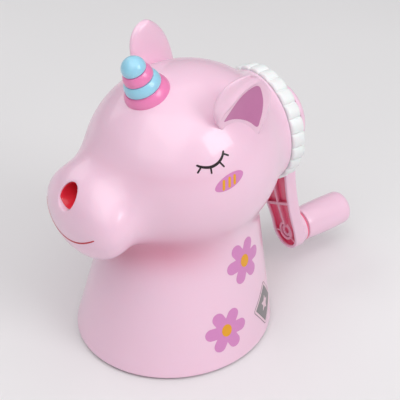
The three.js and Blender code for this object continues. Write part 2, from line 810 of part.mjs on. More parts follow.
const hubFront = maneBack + 0.4;
const hubBack = hubFront + hubThickness;
const driveDepth = 2.2;
const driveSide = 3.6;
const shaftEnd = hubFront + driveDepth - gap;
const seatBack = hubFront + driveDepth + 1.2;
const hubScrewLength = 9;
const capBore = 8;
const knobZ = pencilHeight - crankReach;
const armFrontAt = (z) => hubFront + armBow * (Math.max(pencilHeight - z, 0) / crankReach) ** 2;
const armHalfAt = (z) => (
  THREE.MathUtils.lerp(armEndRadius, armTopRadius, THREE.MathUtils.clamp((z - knobZ) / crankReach, 0, 1))
);
const armEndFront = armFrontAt(knobZ);
const armEndBack = armEndFront + armThickness;
const knobFront = armEndBack + armBoss + gap;

function crankShaft() {
  const body = join(
    rodX(shaftRadius, rearPlateBack + 0.8 + gap, hubFront, 0, pencilHeight, smallSides),
    block(hubFront - 0.5, shaftEnd, -driveSide / 2, driveSide / 2,
      pencilHeight - driveSide / 2, pencilHeight + driveSide / 2),
  );
  return cut(
    body,
    rodX(screwRadius + 0.2 + gap, shaftEnd - hubScrewLength, shaftEnd + 1, 0, pencilHeight, tinySides),
    crossHole(shaftPinRadius + gap, shaftRadius * 2),
  );
}

// A piece of the arm: its width and thickness at each height, bent back along the arm's curve.
function armPiece(halfAt, inset, depth, fromZ, toZ, steps = 7) {
  const rings = [];
  for (let i = 0; i <= steps; i += 1) {
    const z = THREE.MathUtils.lerp(fromZ, toZ, i / steps);
    const front = armFrontAt(z) + inset;
    const half = halfAt(z);
    rings.push([
      new THREE.Vector3(front, -half, z),
      new THREE.Vector3(front + depth, -half, z),
      new THREE.Vector3(front + depth, half, z),
      new THREE.Vector3(front, half, z),
    ]);
  }
  return toSolid(loft(rings));
}

function crankArm() {
  const pocketDepth = armThickness - armFloor;
  const pocketTop = pencilHeight - hubRadius - 1.5;
  const plate = join(
    armPiece(armHalfAt, 0, armThickness, knobZ, pencilHeight),
    rodX(armEndRadius, armEndFront, armEndBack, 0, knobZ),
    rodX(armEndRadius - 0.9, armEndBack - 0.5, armEndBack + armBoss, 0, knobZ),
    rodX(hubRadius, hubFront, hubBack, 0, pencilHeight, largeSides),
  );
  const pocket = join(
    armPiece((z) => armHalfAt(z) - armRim, -1, pocketDepth + 1, knobZ, pocketTop),
    rodX(armEndRadius - armRim, armEndFront - 1, armEndFront + pocketDepth, 0, knobZ),
  );
  const ribDepth = armThickness - armFloor;
  const spine = armPiece(() => armSpineThickness / 2, 1, ribDepth, knobZ + 4, pocketTop + 1);
  const ribs = [spine];
  for (let i = 1; i <= armRibs; i += 1) {
    const z = THREE.MathUtils.lerp(knobZ, pocketTop, i / (armRibs + 0.6));
    const halfAt = (level) => armHalfAt(level) - armRim / 2;
    ribs.push(armPiece(halfAt, 1, ribDepth, z - armRibThickness / 2, z + armRibThickness / 2, 1));
  }
  const boss = rodX(knobPinRadius + 1.8, armEndFront + 0.4, armEndBack - 0.5, 0, knobZ, smallSides);
  return cut(
    join(cut(plate, pocket), ...ribs, boss),
    rodX(knobPinRadius + gap, armEndFront - 2, armEndBack + 5, 0, knobZ, smallSides),
    rodX(knobPinRadius + 0.9, armEndFront - 2, armEndFront + 1.9, 0, knobZ, smallSides),
    block(hubFront - 1, hubFront + driveDepth, -driveSide / 2 - gap, driveSide / 2 + gap,
      pencilHeight - driveSide / 2 - gap, pencilHeight + driveSide / 2 + gap),
    rodX(screwRadius + 0.2 + gap, hubFront, hubBack + 1, 0, pencilHeight, tinySides),
    rodX(capBore, seatBack, hubBack + 1),
  );
}

function hubCap() {
  const from = hubBack + gap;
  const spigotRadius = capBore - gap;
  const profile = [
    [capSpigotBore, seatBack + gap], [spigotRadius, seatBack + gap], [spigotRadius, from],
    [hubRadius, from],
  ];
  const steps = 4;
  for (let i = 0; i <= steps; i += 1) {
    const turn = Math.PI / 2 * i / steps;
    const place = from + capRim + (capHeight - capRim) * Math.sin(turn);
    profile.push([i === steps ? 0 : hubRadius * Math.cos(turn) ** 0.8, place]);
  }
  profile.push(
    [0, from + capHeight - capSkin],
    [capSpigotBore, from + 2 * capRim],
    [capSpigotBore, seatBack + gap],
  );
  return turnedX(profile);
}

// the pin's head sits in the boss; it is hollow, and a low collar near its end holds the knob
function knobPin() {
  const headFront = armEndFront + 0.5;
  const headBack = armEndFront + 1.6;
  const end = knobFront + knobLength - knobPinShort;
  return turnedX([
    [0, headFront + 1], [1.2, headFront + 1], [1.2, headFront], [knobPinRadius + 0.6, headFront],
    [knobPinRadius + 0.6, headBack], [knobPinRadius, headBack], [knobPinRadius, end - 0.6],
    [knobPinRadius - 0.6, end], [0, end],
  ], smallSides, knobZ);
}

// slightly barrelled, with a small round at the arm and a wide one at the free end
function crankKnob() {
  const end = knobFront + knobLength;
  const bore = knobPinRadius + 0.5;
  const profile = [[bore, knobFront], [knobRadius - 0.9, knobFront], [knobRadius - 0.3, knobFront + 0.5]];
  for (const share of [0.08, 0.3, 0.55, 0.78]) {
    const radius = knobRadius - knobBarrel * (2 * share - 1) ** 2;
    profile.push([radius, THREE.MathUtils.lerp(knobFront, end, share)]);
  }
  const steps = 4;
  for (let i = 0; i <= steps; i += 1) {
    const turn = Math.PI / 2 * i / steps;
    profile.push([
      knobRadius - knobBarrel - 0.05 - knobEndRound * (1 - Math.cos(turn)),
      end - knobEndRound * (1 - Math.sin(turn)),
    ]);
  }
  profile.push([0, end], [0, end - 3], [bore, end - 3], [bore, knobFront]);
  return turnedX(profile, mediumSides, knobZ);
}

addPiece('crank_shaft', crankShaft(), screwSteel());
addPiece('shaft_pin', crossHole(shaftPinRadius, shaftRadius * 2 - 0.2), screwSteel());
addPiece('crank_arm', crankArm(), shellPink());
addPiece('hub_washer',
  turnedX(tubeProfile(screwRadius + 0.2 + gap, 4, seatBack + gap, seatBack + gap + 0.6), smallSides),
  screwSteel());
addPiece('hub_screw',
  screwX(seatBack + 2 * gap + 0.6, -(hubScrewLength + 0.5), 0, pencilHeight, screwRadius + 0.2, 2.4),
  screwSteel());
addPiece('hub_cap', hubCap(), shellPink());
addPiece('knob_pin', knobPin(), shellPink());
addPiece('crank_knob', crankKnob(), shellPink());

// ---- base cover and feet ----------------------------------------------------------------------------

// an oval that follows the inside of the neck from one height to another, pulled in by a distance
function insideNeck(inset, fromZ, toZ) {
  const rings = [fromZ, toZ].map((z) => {
    const section = neckAt(z);
    return spots(largeSides, 0).map((turn) => new THREE.Vector3(
      section.x + (section.rx - wall - inset) * Math.cos(turn),
      (section.ry - wall - inset) * Math.sin(turn),
      z,
    ));
  });
  return toSolid(loft(rings));
}

const feet = [
  ['foot_front', -footPlace, 0],
  ['foot_rear', footPlace, 0],
  ['foot_left', 0, -footPlace],
  ['foot_right', 0, footPlace],
];
const footFrame = (x, y) => new THREE.Matrix4().makeTranslation(x, y, 0);
const footHoleRadius = 1.6;

function baseCover() {
  const slack = 2 * gap;
  const tray = cut(
    insideNeck(slack, 0, coverHeight),
    insideNeck(slack + coverWall, coverFloor, coverHeight + 1),
  );
  const seats = feet.flatMap(([, x, y]) => [
    toSolid(turned(rodProfile(footRadius + gap, -1, 0.8), smallSides).applyMatrix4(footFrame(x, y))),
    toSolid(turned(rodProfile(footHoleRadius + gap, 0, coverFloor + 1), tinySides)
      .applyMatrix4(footFrame(x, y))),
  ]);
  return cut(tray, ...seats);
}

function foot(x, y) {
  return toSolid(turned([
    [0, -footDrop], [footRadius - 0.5, -footDrop], [footRadius, -footDrop + 0.5], [footRadius, 0.5],
    [footHoleRadius, 0.5], [footHoleRadius, coverFloor + 1], [0, coverFloor + 1],
  ], smallSides).applyMatrix4(footFrame(x, y)));
}

const coverPink = () => plastic('cover_pink', 0xf0c0d8, 0.35);
const footRubber = () => plastic('foot_rubber', 0x2a2a2c, 0.8);

addPiece('base_cover', baseCover(), coverPink());
feet.forEach(([name, x, y]) => addPiece(name, foot(x, y), footRubber()));

// ---- stand the object on z = 0, centred ---------------------------------------------------------------

const bounds = new THREE.Box3().setFromObject(group);
const middle = bounds.getCenter(new THREE.Vector3());
group.position.set(-middle.x, -middle.y, -bounds.min.z);
group.updateMatrixWorld(true);

export default group;
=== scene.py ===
import math
import bmesh
import bpy
import numpy as np
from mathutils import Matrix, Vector


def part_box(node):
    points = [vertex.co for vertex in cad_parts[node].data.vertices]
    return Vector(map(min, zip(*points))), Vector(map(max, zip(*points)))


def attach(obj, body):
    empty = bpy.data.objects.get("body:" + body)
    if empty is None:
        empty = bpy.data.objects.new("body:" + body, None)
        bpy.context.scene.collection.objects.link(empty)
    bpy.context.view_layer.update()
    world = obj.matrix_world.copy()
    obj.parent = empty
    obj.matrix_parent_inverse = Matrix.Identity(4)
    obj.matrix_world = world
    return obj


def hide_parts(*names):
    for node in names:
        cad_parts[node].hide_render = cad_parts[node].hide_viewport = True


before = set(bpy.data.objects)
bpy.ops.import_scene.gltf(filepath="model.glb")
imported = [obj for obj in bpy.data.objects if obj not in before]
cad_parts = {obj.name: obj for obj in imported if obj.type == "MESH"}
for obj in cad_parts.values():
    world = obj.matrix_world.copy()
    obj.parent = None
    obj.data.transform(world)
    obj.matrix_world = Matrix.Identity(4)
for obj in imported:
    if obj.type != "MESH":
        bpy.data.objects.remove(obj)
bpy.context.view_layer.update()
mm = 0.001

# Shapes are worked out in millimetres about the middle of the neck's rim, then moved into place.
coverLow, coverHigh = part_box("base_cover")
shellLow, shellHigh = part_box("body_shell")
maneLow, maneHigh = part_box("mane_ring")
rimMiddle = np.array([(coverLow.x + coverHigh.x) / 2, 0.0, shellLow.z])
pencilHeight = round(((maneLow.z + maneHigh.z) / 2 - rimMiddle[2]) / mm, 3)
alongX = np.array([1.0, 0.0, 0.0])
alongY = np.array([0.0, 1.0, 0.0])
alongZ = np.array([0.0, 0.0, 1.0])
pencilLine = np.array([0.0, 0.0, pencilHeight])
gap = 0.3      # room left between neighbouring pieces
print("frame loaded,", len(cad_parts), "CAD nodes")


# Materials

class Wire:
    # a number's socket that can be added, taken away and multiplied, which adds the Math nodes
    def __init__(self, shade, socket):
        self.shade = shade
        self.socket = socket

    def work(self, operation, first, second):
        return self.shade.node("ShaderNodeMath", {"operation": operation}, {0: first, 1: second})

    def __add__(self, other):
        return self.work("ADD", self, other)

    def __radd__(self, other):
        return self.work("ADD", other, self)

    def __sub__(self, other):
        return self.work("SUBTRACT", self, other)

    def __rsub__(self, other):
        return self.work("SUBTRACT", other, self)

    def __mul__(self, other):
        return self.work("MULTIPLY", self, other)

    def __rmul__(self, other):
        return self.work("MULTIPLY", other, self)


class Shade:
    # one material and its nodes
    def __init__(self, name):
        self.material = bpy.data.materials.new(name)
        self.material.use_nodes = True
        self.tree = self.material.node_tree
        self.tree.nodes.clear()

    # adds a node: its type, its settings, then its sockets' values or links; gives back one output
    def node(self, kind, settings, sockets, output=0):
        made = self.tree.nodes.new(kind)
        for key, value in settings.items():
            setattr(made, key, value)
        for key, value in sockets.items():
            if isinstance(value, Wire):
                self.tree.links.new(value.socket, made.inputs[key])
            else:
                made.inputs[key].default_value = value
        return Wire(self, made.outputs[output]) if len(made.outputs) else None

    def noise(self, scale, detail, stretch=None):
        where = self.node("ShaderNodeTexCoord", {}, {}, "Object")
        if stretch is not None:
            where = self.node("ShaderNodeMapping", {}, {"Vector": where, "Scale": stretch})
        sockets = {"Vector": where, "Scale": scale, "Detail": detail}
        return self.node("ShaderNodeTexNoise", {}, sockets)

    def blend(self, share, first, second):
        sockets = {0: share, 6: first, 7: second}
        return self.node("ShaderNodeMix", {"data_type": "RGBA"}, sockets, 2)

    def bump(self, height, strength, distance):
        sockets = {"Height": height, "Strength": strength, "Distance": distance}
        return self.node("ShaderNodeBump", {}, sockets)

    def finish(self, sockets):
        skin = self.node("ShaderNodeBsdfPrincipled", {}, sockets)
        self.node("ShaderNodeOutputMaterial", {}, {"Surface": skin})
        return self.material


# a colour given as 0 to 255 values, made linear
def tint(red, green, blue):
    def straight(value):
        share = value / 255
        return share / 12.92 if share <= 0.04045 else ((share + 0.055) / 1.055) ** 2.4
    return (straight(red), straight(green), straight(blue), 1.0)


def shaded(colour, factor):
    return (colour[0] * factor, colour[1] * factor, colour[2] * factor, 1.0)


plasticLook = {
    # the two deeper pinks in the next line are painted shade: the shade in the arm's pocket and in the
    # fold under the chin
    "pink": tint(248, 208, 229), "pocketShadePink": tint(240, 84, 128), "throatShadePink": tint(214, 120, 150),
    # the red in the next line is painted shade: the dark red inside the nose hole, given to the pencil
    # guide
    "red": tint(243, 46, 68), "hornPink": tint(247, 138, 192), "hornBlue": tint(160, 220, 244),
    "white": tint(238, 241, 241), "grey": tint(226, 224, 226), "coverPink": tint(240, 192, 216),
    "cloudScale": 28.0,        # broad, faint unevenness of the moulding's colour
    "speckScale": 900.0,       # fine grain of the pigment
    "rippleScale": 260.0,      # moulded surface's slight waviness
}


# Moulded plastic: a colour that drifts a little over the piece, a fine pigment grain, gloss that
# varies with a fainter noise, and a shallow waviness in the surface.
def plastic(name, colour, gloss=0.36, coat=0.55, ripple=0.04, deep=None):
    shade = Shade(name)
    base = plasticLook[colour]
    cloud = shade.noise(plasticLook["cloudScale"], 3.0)
    speck = shade.noise(plasticLook["speckScale"], 2.0)
    skin = shade.blend(cloud, shaded(base, 0.95), shaded(base, 1.02))
    skin = shade.blend(0.06 * speck, skin, shaded(base, 0.8))
    # painted shade: where the mesh's depth attribute is high, the colour turns to a deeper pink that
    # stands in for the shade in pockets, hollows and the fold under the chin
    if deep is not None:
        depth = shade.node("ShaderNodeAttribute", {"attribute_name": "depth"}, {}, "Fac")
        skin = shade.blend(depth, skin, plasticLook[deep])
    wave = shade.noise(plasticLook["rippleScale"], 1.0)
    return shade.finish({
        "Base Color": skin,
        "Roughness": gloss + 0.08 * (cloud - 0.5) + 0.05 * (speck - 0.5),
        "Normal": shade.bump(wave + 0.25 * speck, ripple, 0.0002),
        "Coat Weight": coat,
        "Coat Roughness": 0.06,
        "Subsurface Weight": 0.12,
        "Subsurface Radius": (1.0, 0.35, 0.45),
        "Subsurface Scale": 0.002,
    })


# Printed ink: nearly even, with the faint mottle of a pad print and a slightly duller face.
def ink(name, colour):
    shade = Shade(name)
    mottle = shade.noise(1400.0, 3.0)
    patch = shade.noise(160.0, 2.0)
    skin = shade.blend(mottle * 0.5 + patch * 0.5, shaded(colour, 0.93), shaded(colour, 1.04))
    return shade.finish({
        "Base Color": skin,
        "Roughness": 0.38 + 0.1 * (mottle - 0.5),
        "Normal": shade.bump(mottle, 0.06, 0.0001),
    })


# Metal: brushed or cast, with fine lines or grain in its gloss and surface.
def metal(name, colour, gloss, stretch=None, grain=600.0, depth=0.12):
    shade = Shade(name)
    lines = shade.noise(grain, 4.0, stretch)
    stain = shade.noise(90.0, 4.0)
    return shade.finish({
        "Base Color": shade.blend(stain, shaded(colour, 0.88), shaded(colour, 1.036)),
        "Metallic": 1.0,
        "Roughness": gloss + 0.2 * (lines - 0.5) + 0.12 * (stain - 0.5),
        "Normal": shade.bump(lines, depth, 0.0002),
    })


# Rubber: matt, with a fine grain and paler dust on it.
def rubber(name, colour):
    shade = Shade(name)
    grain = shade.noise(1100.0, 3.0)
    dust = shade.noise(120.0, 3.0)
    return shade.finish({
        "Base Color": shade.blend(dust, colour, shaded(colour, 2.2)),
        "Roughness": 0.72 + 0.2 * (dust - 0.5),
        "Normal": shade.bump(grain, 0.25, 0.0002),
    })


pinkPlastic = plastic("glossy pink plastic", "pink")
# painted shade: the arm's pocket, its ribs and the pin in it are painted a deeper pink
pocketShadedPlastic = plastic("pink plastic, painted shade deep in the pocket", "pink", deep="pocketShadePink")
# painted shade: the shell's deeper pink in the throat stands in for the shade there
shellPlasticThroatShade = plastic("glossy pink plastic, painted shade in the throat", "pink", deep="throatShadePink")
# painted shade: the guide's red stands in for the dark red inside the nose hole
holeShadeRedPlastic = plastic("red plastic, painted shade in the nose hole", "red", coat=0.5)
hornPlastics = {"pink": plastic("horn pink", "hornPink"), "blue": plastic("horn blue", "hornBlue")}
whitePlastic = plastic("satin white plastic", "white", 0.42, 0.0, 0.12)
greyPlastic = plastic("housing plastic", "grey", 0.45, 0.0, 0.1)
coverPlastic = plastic("satin pink plastic", "coverPink", 0.4, 0.0, 0.12)
inks = {name: ink(name + " ink", tint(*colour)) for name, colour in {
    "dark brown": (34, 18, 24), "mauve": (217, 135, 192), "orange": (235, 165, 24),
    "lilac pink": (217, 138, 196), "plum pink": (200, 122, 170), "red": (196, 20, 48),
    "grey": (132, 129, 130), "pale pink": (236, 206, 218), "thin grey": (150, 118, 134),
}.items()}
brightSteel = metal("zinc plated steel", (0.62, 0.62, 0.64, 1.0), 0.3)
cutterSteel = metal("ground cutter steel", (0.42, 0.43, 0.46, 1.0), 0.26, (1.0, 14.0, 14.0), 300.0, 0.2)
castZinc = metal("die-cast zinc", (0.5, 0.5, 0.51, 1.0), 0.46, None, 900.0, 0.25)
turnedBrass = metal("turned brass", (0.72, 0.5, 0.2, 1.0), 0.28, (20.0, 1.0, 1.0), 260.0, 0.15)
footRubber = rubber("black rubber", (0.022, 0.022, 0.024, 1.0))
print("materials made")


# Helpers: surfaces from grids of points

# Faces of a grid whose rows are rings (ringed) and whose last row may join the first (looped).
def gridFaces(rows, columns, ringed, looped):
    i = np.arange(rows if looped else rows - 1)[:, None]
    j = np.arange(columns if ringed else columns - 1)[None, :]
    nextI = (i + 1) % rows
    nextJ = (j + 1) % columns
    corners = [i * columns + j, i * columns + nextJ, nextI * columns + nextJ, nextI * columns + j]
    return np.stack(np.broadcast_arrays(*corners), axis=-1).reshape(-1, 4)


# one grid of points, its faces, and how much painted shade, as a deeper pink, each row takes, from 0 to
# 1
def surface(points, ringed=True, looped=False, depth=None):
    rows, columns = points.shape[:2]
    deep = np.zeros(rows) if depth is None else np.asarray(depth, float)
    faces = gridFaces(rows, columns, ringed, looped)
    return points.reshape(-1, 3), faces, np.repeat(deep, columns)


# Puts surfaces into one mesh: the points of a seam or pole are merged, and the faces turned out.
def makePiece(name, parts, material, slot=None, replaces=(), body="sharpener_body", sharp=38.0,
              trim=None):
    points = np.concatenate([part[0] for part in parts])
    starts = np.cumsum([0] + [len(part[0]) for part in parts[:-1]])
    faces = np.concatenate([part[1] + start for part, start in zip(parts, starts)])
    mesh = bpy.data.meshes.new(name)
    mesh.from_pydata((rimMiddle + points * mm).tolist(), [], faces.tolist())
    # each point's share of painted shade goes into the depth attribute that the plastic reads
    deep = np.concatenate([part[2] for part in parts]).astype(np.float32)
    if deep.any():
        mesh.attributes.new("depth", "FLOAT", "POINT").data.foreach_set("value", deep)
    work = bmesh.new()
    work.from_mesh(mesh)
    bmesh.ops.remove_doubles(work, verts=work.verts, dist=0.002 * mm)
    bmesh.ops.dissolve_degenerate(work, edges=work.edges, dist=0.001 * mm)
    if trim is not None:
        trim(work)
    bmesh.ops.recalc_face_normals(work, faces=work.faces)
    work.to_mesh(mesh)
    work.free()
    mesh.shade_smooth()
    mesh.set_sharp_from_angle(angle=math.radians(sharp))
    mesh.materials.append(material)
    piece = bpy.data.objects.new(name, mesh)
    bpy.context.scene.collection.objects.link(piece)
    if replaces:
        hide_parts(*replaces)
    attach(piece, body)


# evenly spaced angles round a full turn
def wholeTurn(count):
    return np.linspace(0, 2 * np.pi, count, endpoint=False)


# points of an oval at the given angles
def ovalLine(angle, wide, tall):
    return np.stack([wide * np.cos(angle), tall * np.sin(angle)], axis=1)


# Each corner of a line of points becomes a quadratic curve that starts and ends size away from it.
def softCorners(points, size, closed=False, steps=5):
    points = np.asarray(points, float)
    count = len(points)
    sizes = np.broadcast_to(np.asarray(size, float), (count,))
    t = np.linspace(0, 1, steps)[:, None]
    line = []
    for i in range(count):
        if sizes[i] == 0 or (not closed and i in (0, count - 1)):
            line.append(points[i][None, :])
            continue
        back = points[i - 1] - points[i]
        on = points[(i + 1) % count] - points[i]
        start = points[i] + back * min(sizes[i] / np.linalg.norm(back), 0.49)
        end = points[i] + on * min(sizes[i] / np.linalg.norm(on), 0.49)
        line.append((1 - t) ** 2 * start + 2 * t * (1 - t) * points[i] + t ** 2 * end)
    return np.concatenate(line)


# A smooth line through a few points: each stretch is a cubic whose slope at a point is half the
# step between its neighbours (Catmull-Rom).
def smoothLine(points, steps=8):
    points = np.asarray(points, float)
    padded = np.vstack([2 * points[0] - points[1], points, 2 * points[-1] - points[-2]])
    t = np.linspace(0, 1, steps, endpoint=False)[:, None, None]
    a, b, c, d = (padded[k:len(padded) - 3 + k][None] for k in range(4))
    line = 0.5 * (2 * b + (c - a) * t + (2 * a - 5 * b + 4 * c - d) * t ** 2
                  + (3 * b - 3 * c + d - a) * t ** 3)
    return np.vstack([line.transpose(1, 0, 2).reshape(-1, points.shape[1]), points[-1:]])


# two directions square to an axis
def square(axis):
    side = np.cross(alongY if abs(axis[1]) < 0.9 else alongX, axis)
    side = side / np.linalg.norm(side)
    return side, np.cross(axis, side)


# A profile of (radius, place) pairs turned about an axis:
# point = centre + place * axis + radius * (cos(turn) * side + sin(turn) * other side).
def turnedSurface(profile, centre, axis, segments=96, looped=False, depth=None):
    profile = np.asarray(profile, float)
    side, other = square(axis)
    turn = wholeTurn(segments)[None, :, None]
    radius = profile[:, 0][:, None, None]
    place = profile[:, 1][:, None, None]
    points = centre + place * axis + radius * (np.cos(turn) * side + np.sin(turn) * other)
    return surface(points, True, looped, depth)


def mirrored(part):
    return part[0] * np.array([1, -1, 1]), part[1][:, ::-1], part[2]


def bothSides(parts):
    return parts + [mirrored(part) for part in parts]


# The head and neck: one field of values, below zero inside

body = {
    "neckLength": 73.5, "neckWidth": 70.0, "neckTopLength": 48.6, "neckTopWidth": 43.3,
    "neckHeight": 62.0, "neckLean": 5.9,
    "skullX": 4.5, "skullDrop": 0.9, "skullSize": (70.8, 63.6, 65.7),
    "snoutX": -34.4, "snoutDrop": 9.5, "snoutSize": (20.2, 39.6, 28.0),
    "snoutBlend": 13.0, "collarBlend": 5.0, "neckBlend": 4.3,
    "collarRadius": 19.8, "collarEnd": 35.8, "collarSpare": 6.0, "collarLow": 46.0,
    "wall": 2.2,
    "throatShadeSpread": 5.0, "throatShadeStrength": 0.8,   # painted shade: the shell is painted a deeper pink in the fold under the chin
    "throatShadeEnd": 10.0, "throatShadeFade": 25.0,    # where the painted shade ends, and over what length
    "noseHole": 4.15, "noseRound": 0.7, "rimRound": 0.7,
    "throat": (-33.0, 42.0),   # x and z of the line that the rings fan about, in front of the neck
    "fan": (28, 39, -30),      # how far behind that line the rings start, by powers of the tilt
    "columns": 224, "outerRows": (44, 118, 44), "innerRows": (16, 46, 16), "edgeRows": (2, 2, 2),
}
farAway = 120.0      # longer than any way through the head
halvings = 34


# oval: k0 * (k0 - 1) / k1, where k0 is the length of offset / radius and k1 of offset / radius squared
def oval(offsets, radii):
    scaled = np.sqrt(sum((offset / radius) ** 2 for offset, radius in zip(offsets, radii)))
    steep = np.sqrt(sum((offset / radius ** 2) ** 2 for offset, radius in zip(offsets, radii)))
    return scaled * (scaled - 1) / np.maximum(steep, 1e-9)


# melt: the lesser of two values, with a fillet where they are within size of each other
def melt(first, second, size):
    share = np.clip(0.5 + 0.5 * (second - first) / size, 0, 1)
    return second * (1 - share) + first * share - size * share * (1 - share)


# half the neck's length and width, a share of the way up it
def neckHalves(share):
    return [(body["neck" + way] * (1 - share) + body["neckTop" + way] * share) / 2
            for way in ("Length", "Width")]


# Skull and snout ovals with a collar tube behind, melted in that order, and the neck's oval cone.
def bodyParts(p):
    x, y, z = p[..., 0], p[..., 1], p[..., 2]
    skull, snout = (
        oval((x - body[name + "X"], y, z - pencilHeight + body[name + "Drop"]),
             [size / 2 for size in body[name + "Size"]]) for name in ("skull", "snout"))
    collar = np.maximum(
        np.maximum(body["skullX"] - x, x - body["collarEnd"] - body["collarSpare"]),
        np.hypot(y, z - pencilHeight) - body["collarRadius"],
    )
    share = np.minimum(z, body["neckHeight"]) / body["neckHeight"]
    neck = oval((x - body["neckLean"] * share, y), neckHalves(share))
    neck = np.maximum(neck, z - pencilHeight)
    return melt(melt(skull, snout, body["snoutBlend"]), collar, body["collarBlend"]), neck


def bodyValue(p):
    head, neck = bodyParts(p)
    return melt(head, neck, body["neckBlend"])


# How far a point lies in the fold under the chin, from 0 to 1, as the share of painted shade it
# takes there: a bell curve over the two values, which are both small there, that fades out towards the
# back.
def paintedThroatShade(p):
    head, neck = bodyParts(p)
    near = np.exp(-(head ** 2 + neck ** 2) / (2 * body["throatShadeSpread"] ** 2))
    return body["throatShadeStrength"] * near * np.clip((body["throatShadeEnd"] - p[..., 0]) / body["throatShadeFade"], 0, 1)


# Halves the stretch from start outwards until it ends where the value is level.
def reach(start, direction, level=0.0, far=farAway):
    start, direction = np.broadcast_arrays(start, direction)
    near = np.zeros(start.shape[:-1])
    out = np.broadcast_to(far, near.shape).copy()
    for _ in range(halvings):
        middle = (near + out) / 2
        inside = bodyValue(start + direction * middle[..., None]) < level
        near = np.where(inside, middle, near)
        out = np.where(inside, out, middle)
    return start + direction * near[..., None]


# the direction in which the value grows fastest, from a small step each way
def bodyNormal(p):
    step = 0.02
    slope = np.stack([
        bodyValue(p + step * axis) - bodyValue(p - step * axis) for axis in (alongX, alongY, alongZ)
    ], axis=-1)
    return slope / np.linalg.norm(slope, axis=-1, keepdims=True)


# Rings of points on the body. Row by row the ray's start moves from the snout back through the
# head and down the neck, and the ring's plane turns with it: first a cone about -X opens from the
# nose hole to 90 degrees, then the plane tips from upright to level about the throat.
def bodyRings(level, hole, rows, neckEnd):
    capRows, fanRows, neckRows = rows
    throatX, throatZ = body["throat"]
    cone = np.radians(np.r_[np.linspace(0, 90, capRows), np.full(fanRows + neckRows, 90.0)])
    tilt = np.radians(np.r_[np.full(capRows, 90.0), np.linspace(90, 0, fanRows + 1)[1:],
                            np.zeros(neckRows)])
    share = 1 - tilt / (np.pi / 2)
    out = body["fan"][0] + body["fan"][1] * share + body["fan"][2] * share ** 2
    middleX = throatX + out * np.cos(tilt)
    middleZ = throatZ + out * np.sin(tilt)
    down = np.linspace(0, 1, neckRows + 1)[1:]
    middleX[-neckRows:] *= 1 - down
    middleZ[-neckRows:] = throatZ * (1 - down) + neckEnd * down
    middle = np.stack([middleX, 0 * middleX, middleZ], axis=-1)[:, None, :]
    turn = wholeTurn(body["columns"])[None, :, None]
    ahead = np.stack([-np.sin(tilt), 0 * tilt, np.cos(tilt)], axis=-1)[:, None, :]
    over = np.stack([np.cos(tilt), 0 * tilt, np.sin(tilt)], axis=-1)[:, None, :]
    around = np.cos(turn) * over + np.sin(turn) * alongY
    opening = cone[:, None, None]
    start = middle + hole * (1 - opening / (np.pi / 2)) * around
    # a ray that heads for the throat stops there, before it meets the neck again
    far = out[:, None] / np.maximum(-np.cos(turn[..., 0]), 0.1)
    far[-neckRows:] = farAway
    direction = np.cos(opening) * ahead + np.sin(opening) * around
    return reach(start, direction, level, np.minimum(far, farAway))


# a quadratic curve from a to c that heads for b, as rows between them without the two ends
def curvedRows(a, b, c, steps):
    t = np.linspace(0, 1, steps + 2)[1:-1, None, None]
    return (1 - t) ** 2 * a + 2 * t * (1 - t) * b + t ** 2 * c


# The shell is one closed skin: out over the nose, down the outside, round the rim, up the inside
# and out again through the wall of the nose hole.
def shellSurface():
    hole, soft, rim = body["noseHole"], body["noseRound"], body["rimRound"]
    outer = bodyRings(0.0, hole + soft, body["outerRows"], rim)
    inner = bodyRings(-body["wall"], hole, body["innerRows"], rim)
    outerEdges = bodyRings(0.0, hole, body["edgeRows"], 0.0)
    noseCorner, outerFoot = outerEdges[:1], outerEdges[-1:]
    innerFoot = bodyRings(-body["wall"], hole, body["edgeRows"], 0.0)[-1:]
    inward = innerFoot - outerFoot
    inward = inward / np.linalg.norm(inward, axis=-1, keepdims=True)
    outerTurn = curvedRows(outer[-1:], outerFoot, outerFoot + rim * inward, 4)
    innerTurn = curvedRows(innerFoot - rim * inward, innerFoot, inner[-1:], 4)
    lip = [outerTurn, outerFoot + rim * inward, innerFoot - rim * inward, innerTurn]
    noseWall = noseCorner + soft * alongX
    t = np.linspace(0, 1, 8)[1:, None, None]
    bore = inner[:1] * (1 - t) + noseWall * t
    noseTurn = curvedRows(noseWall, noseCorner, outer[:1], 6)
    rows = np.concatenate([outer] + lip + [inner[::-1], bore, noseTurn])
    points, faces = surface(rows, True, True)[:2]
    # each point's painted shade in the fold under the chin
    return points, faces, paintedThroatShade(points)


# cuts the collar off square and closes its wall
def squareCollar(work):
    end = (rimMiddle[0] + body["collarEnd"] * mm, 0, 0)
    low = rimMiddle[2] + body["collarLow"] * mm
    faces = [face for face in work.faces if min(vert.co.z for vert in face.verts) > low]
    verts = {vert for face in faces for vert in face.verts}
    edges = {edge for face in faces for edge in face.edges}
    # listed in the mesh's own order, so that each run cuts and closes it the same way
    parts = [vert for vert in work.verts if vert in verts]
    parts += [edge for edge in work.edges if edge in edges] + faces
    bmesh.ops.bisect_plane(work, geom=parts, plane_co=end, plane_no=(1, 0, 0), clear_outer=True)
    rims = [edge for edge in work.edges if edge.is_boundary]
    bmesh.ops.bridge_loops(work, edges=rims)


makePiece("head_and_neck", [shellSurface()], shellPlasticThroatShade, "shell_pink", ["body_shell"], sharp=40.0,
          trim=squareCollar)
print("head and neck made")


# Prints: thin films of ink laid on the body

inkHeight = 0.05      # how far a film stands out
inkFoot = -0.08       # how deep its underside lies in the wall


# a level frame on the body's surface: its middle, and directions across and up the surface
def spotOn(x, y, z):
    near = np.array([x, y, z], float)
    outward = bodyNormal(near)
    middle = reach(near - 8 * outward, outward, far=20.0)
    outward = bodyNormal(middle)
    across = np.cross(alongZ, outward)
    across = across / np.linalg.norm(across)
    return middle, outward, across, np.cross(outward, across)


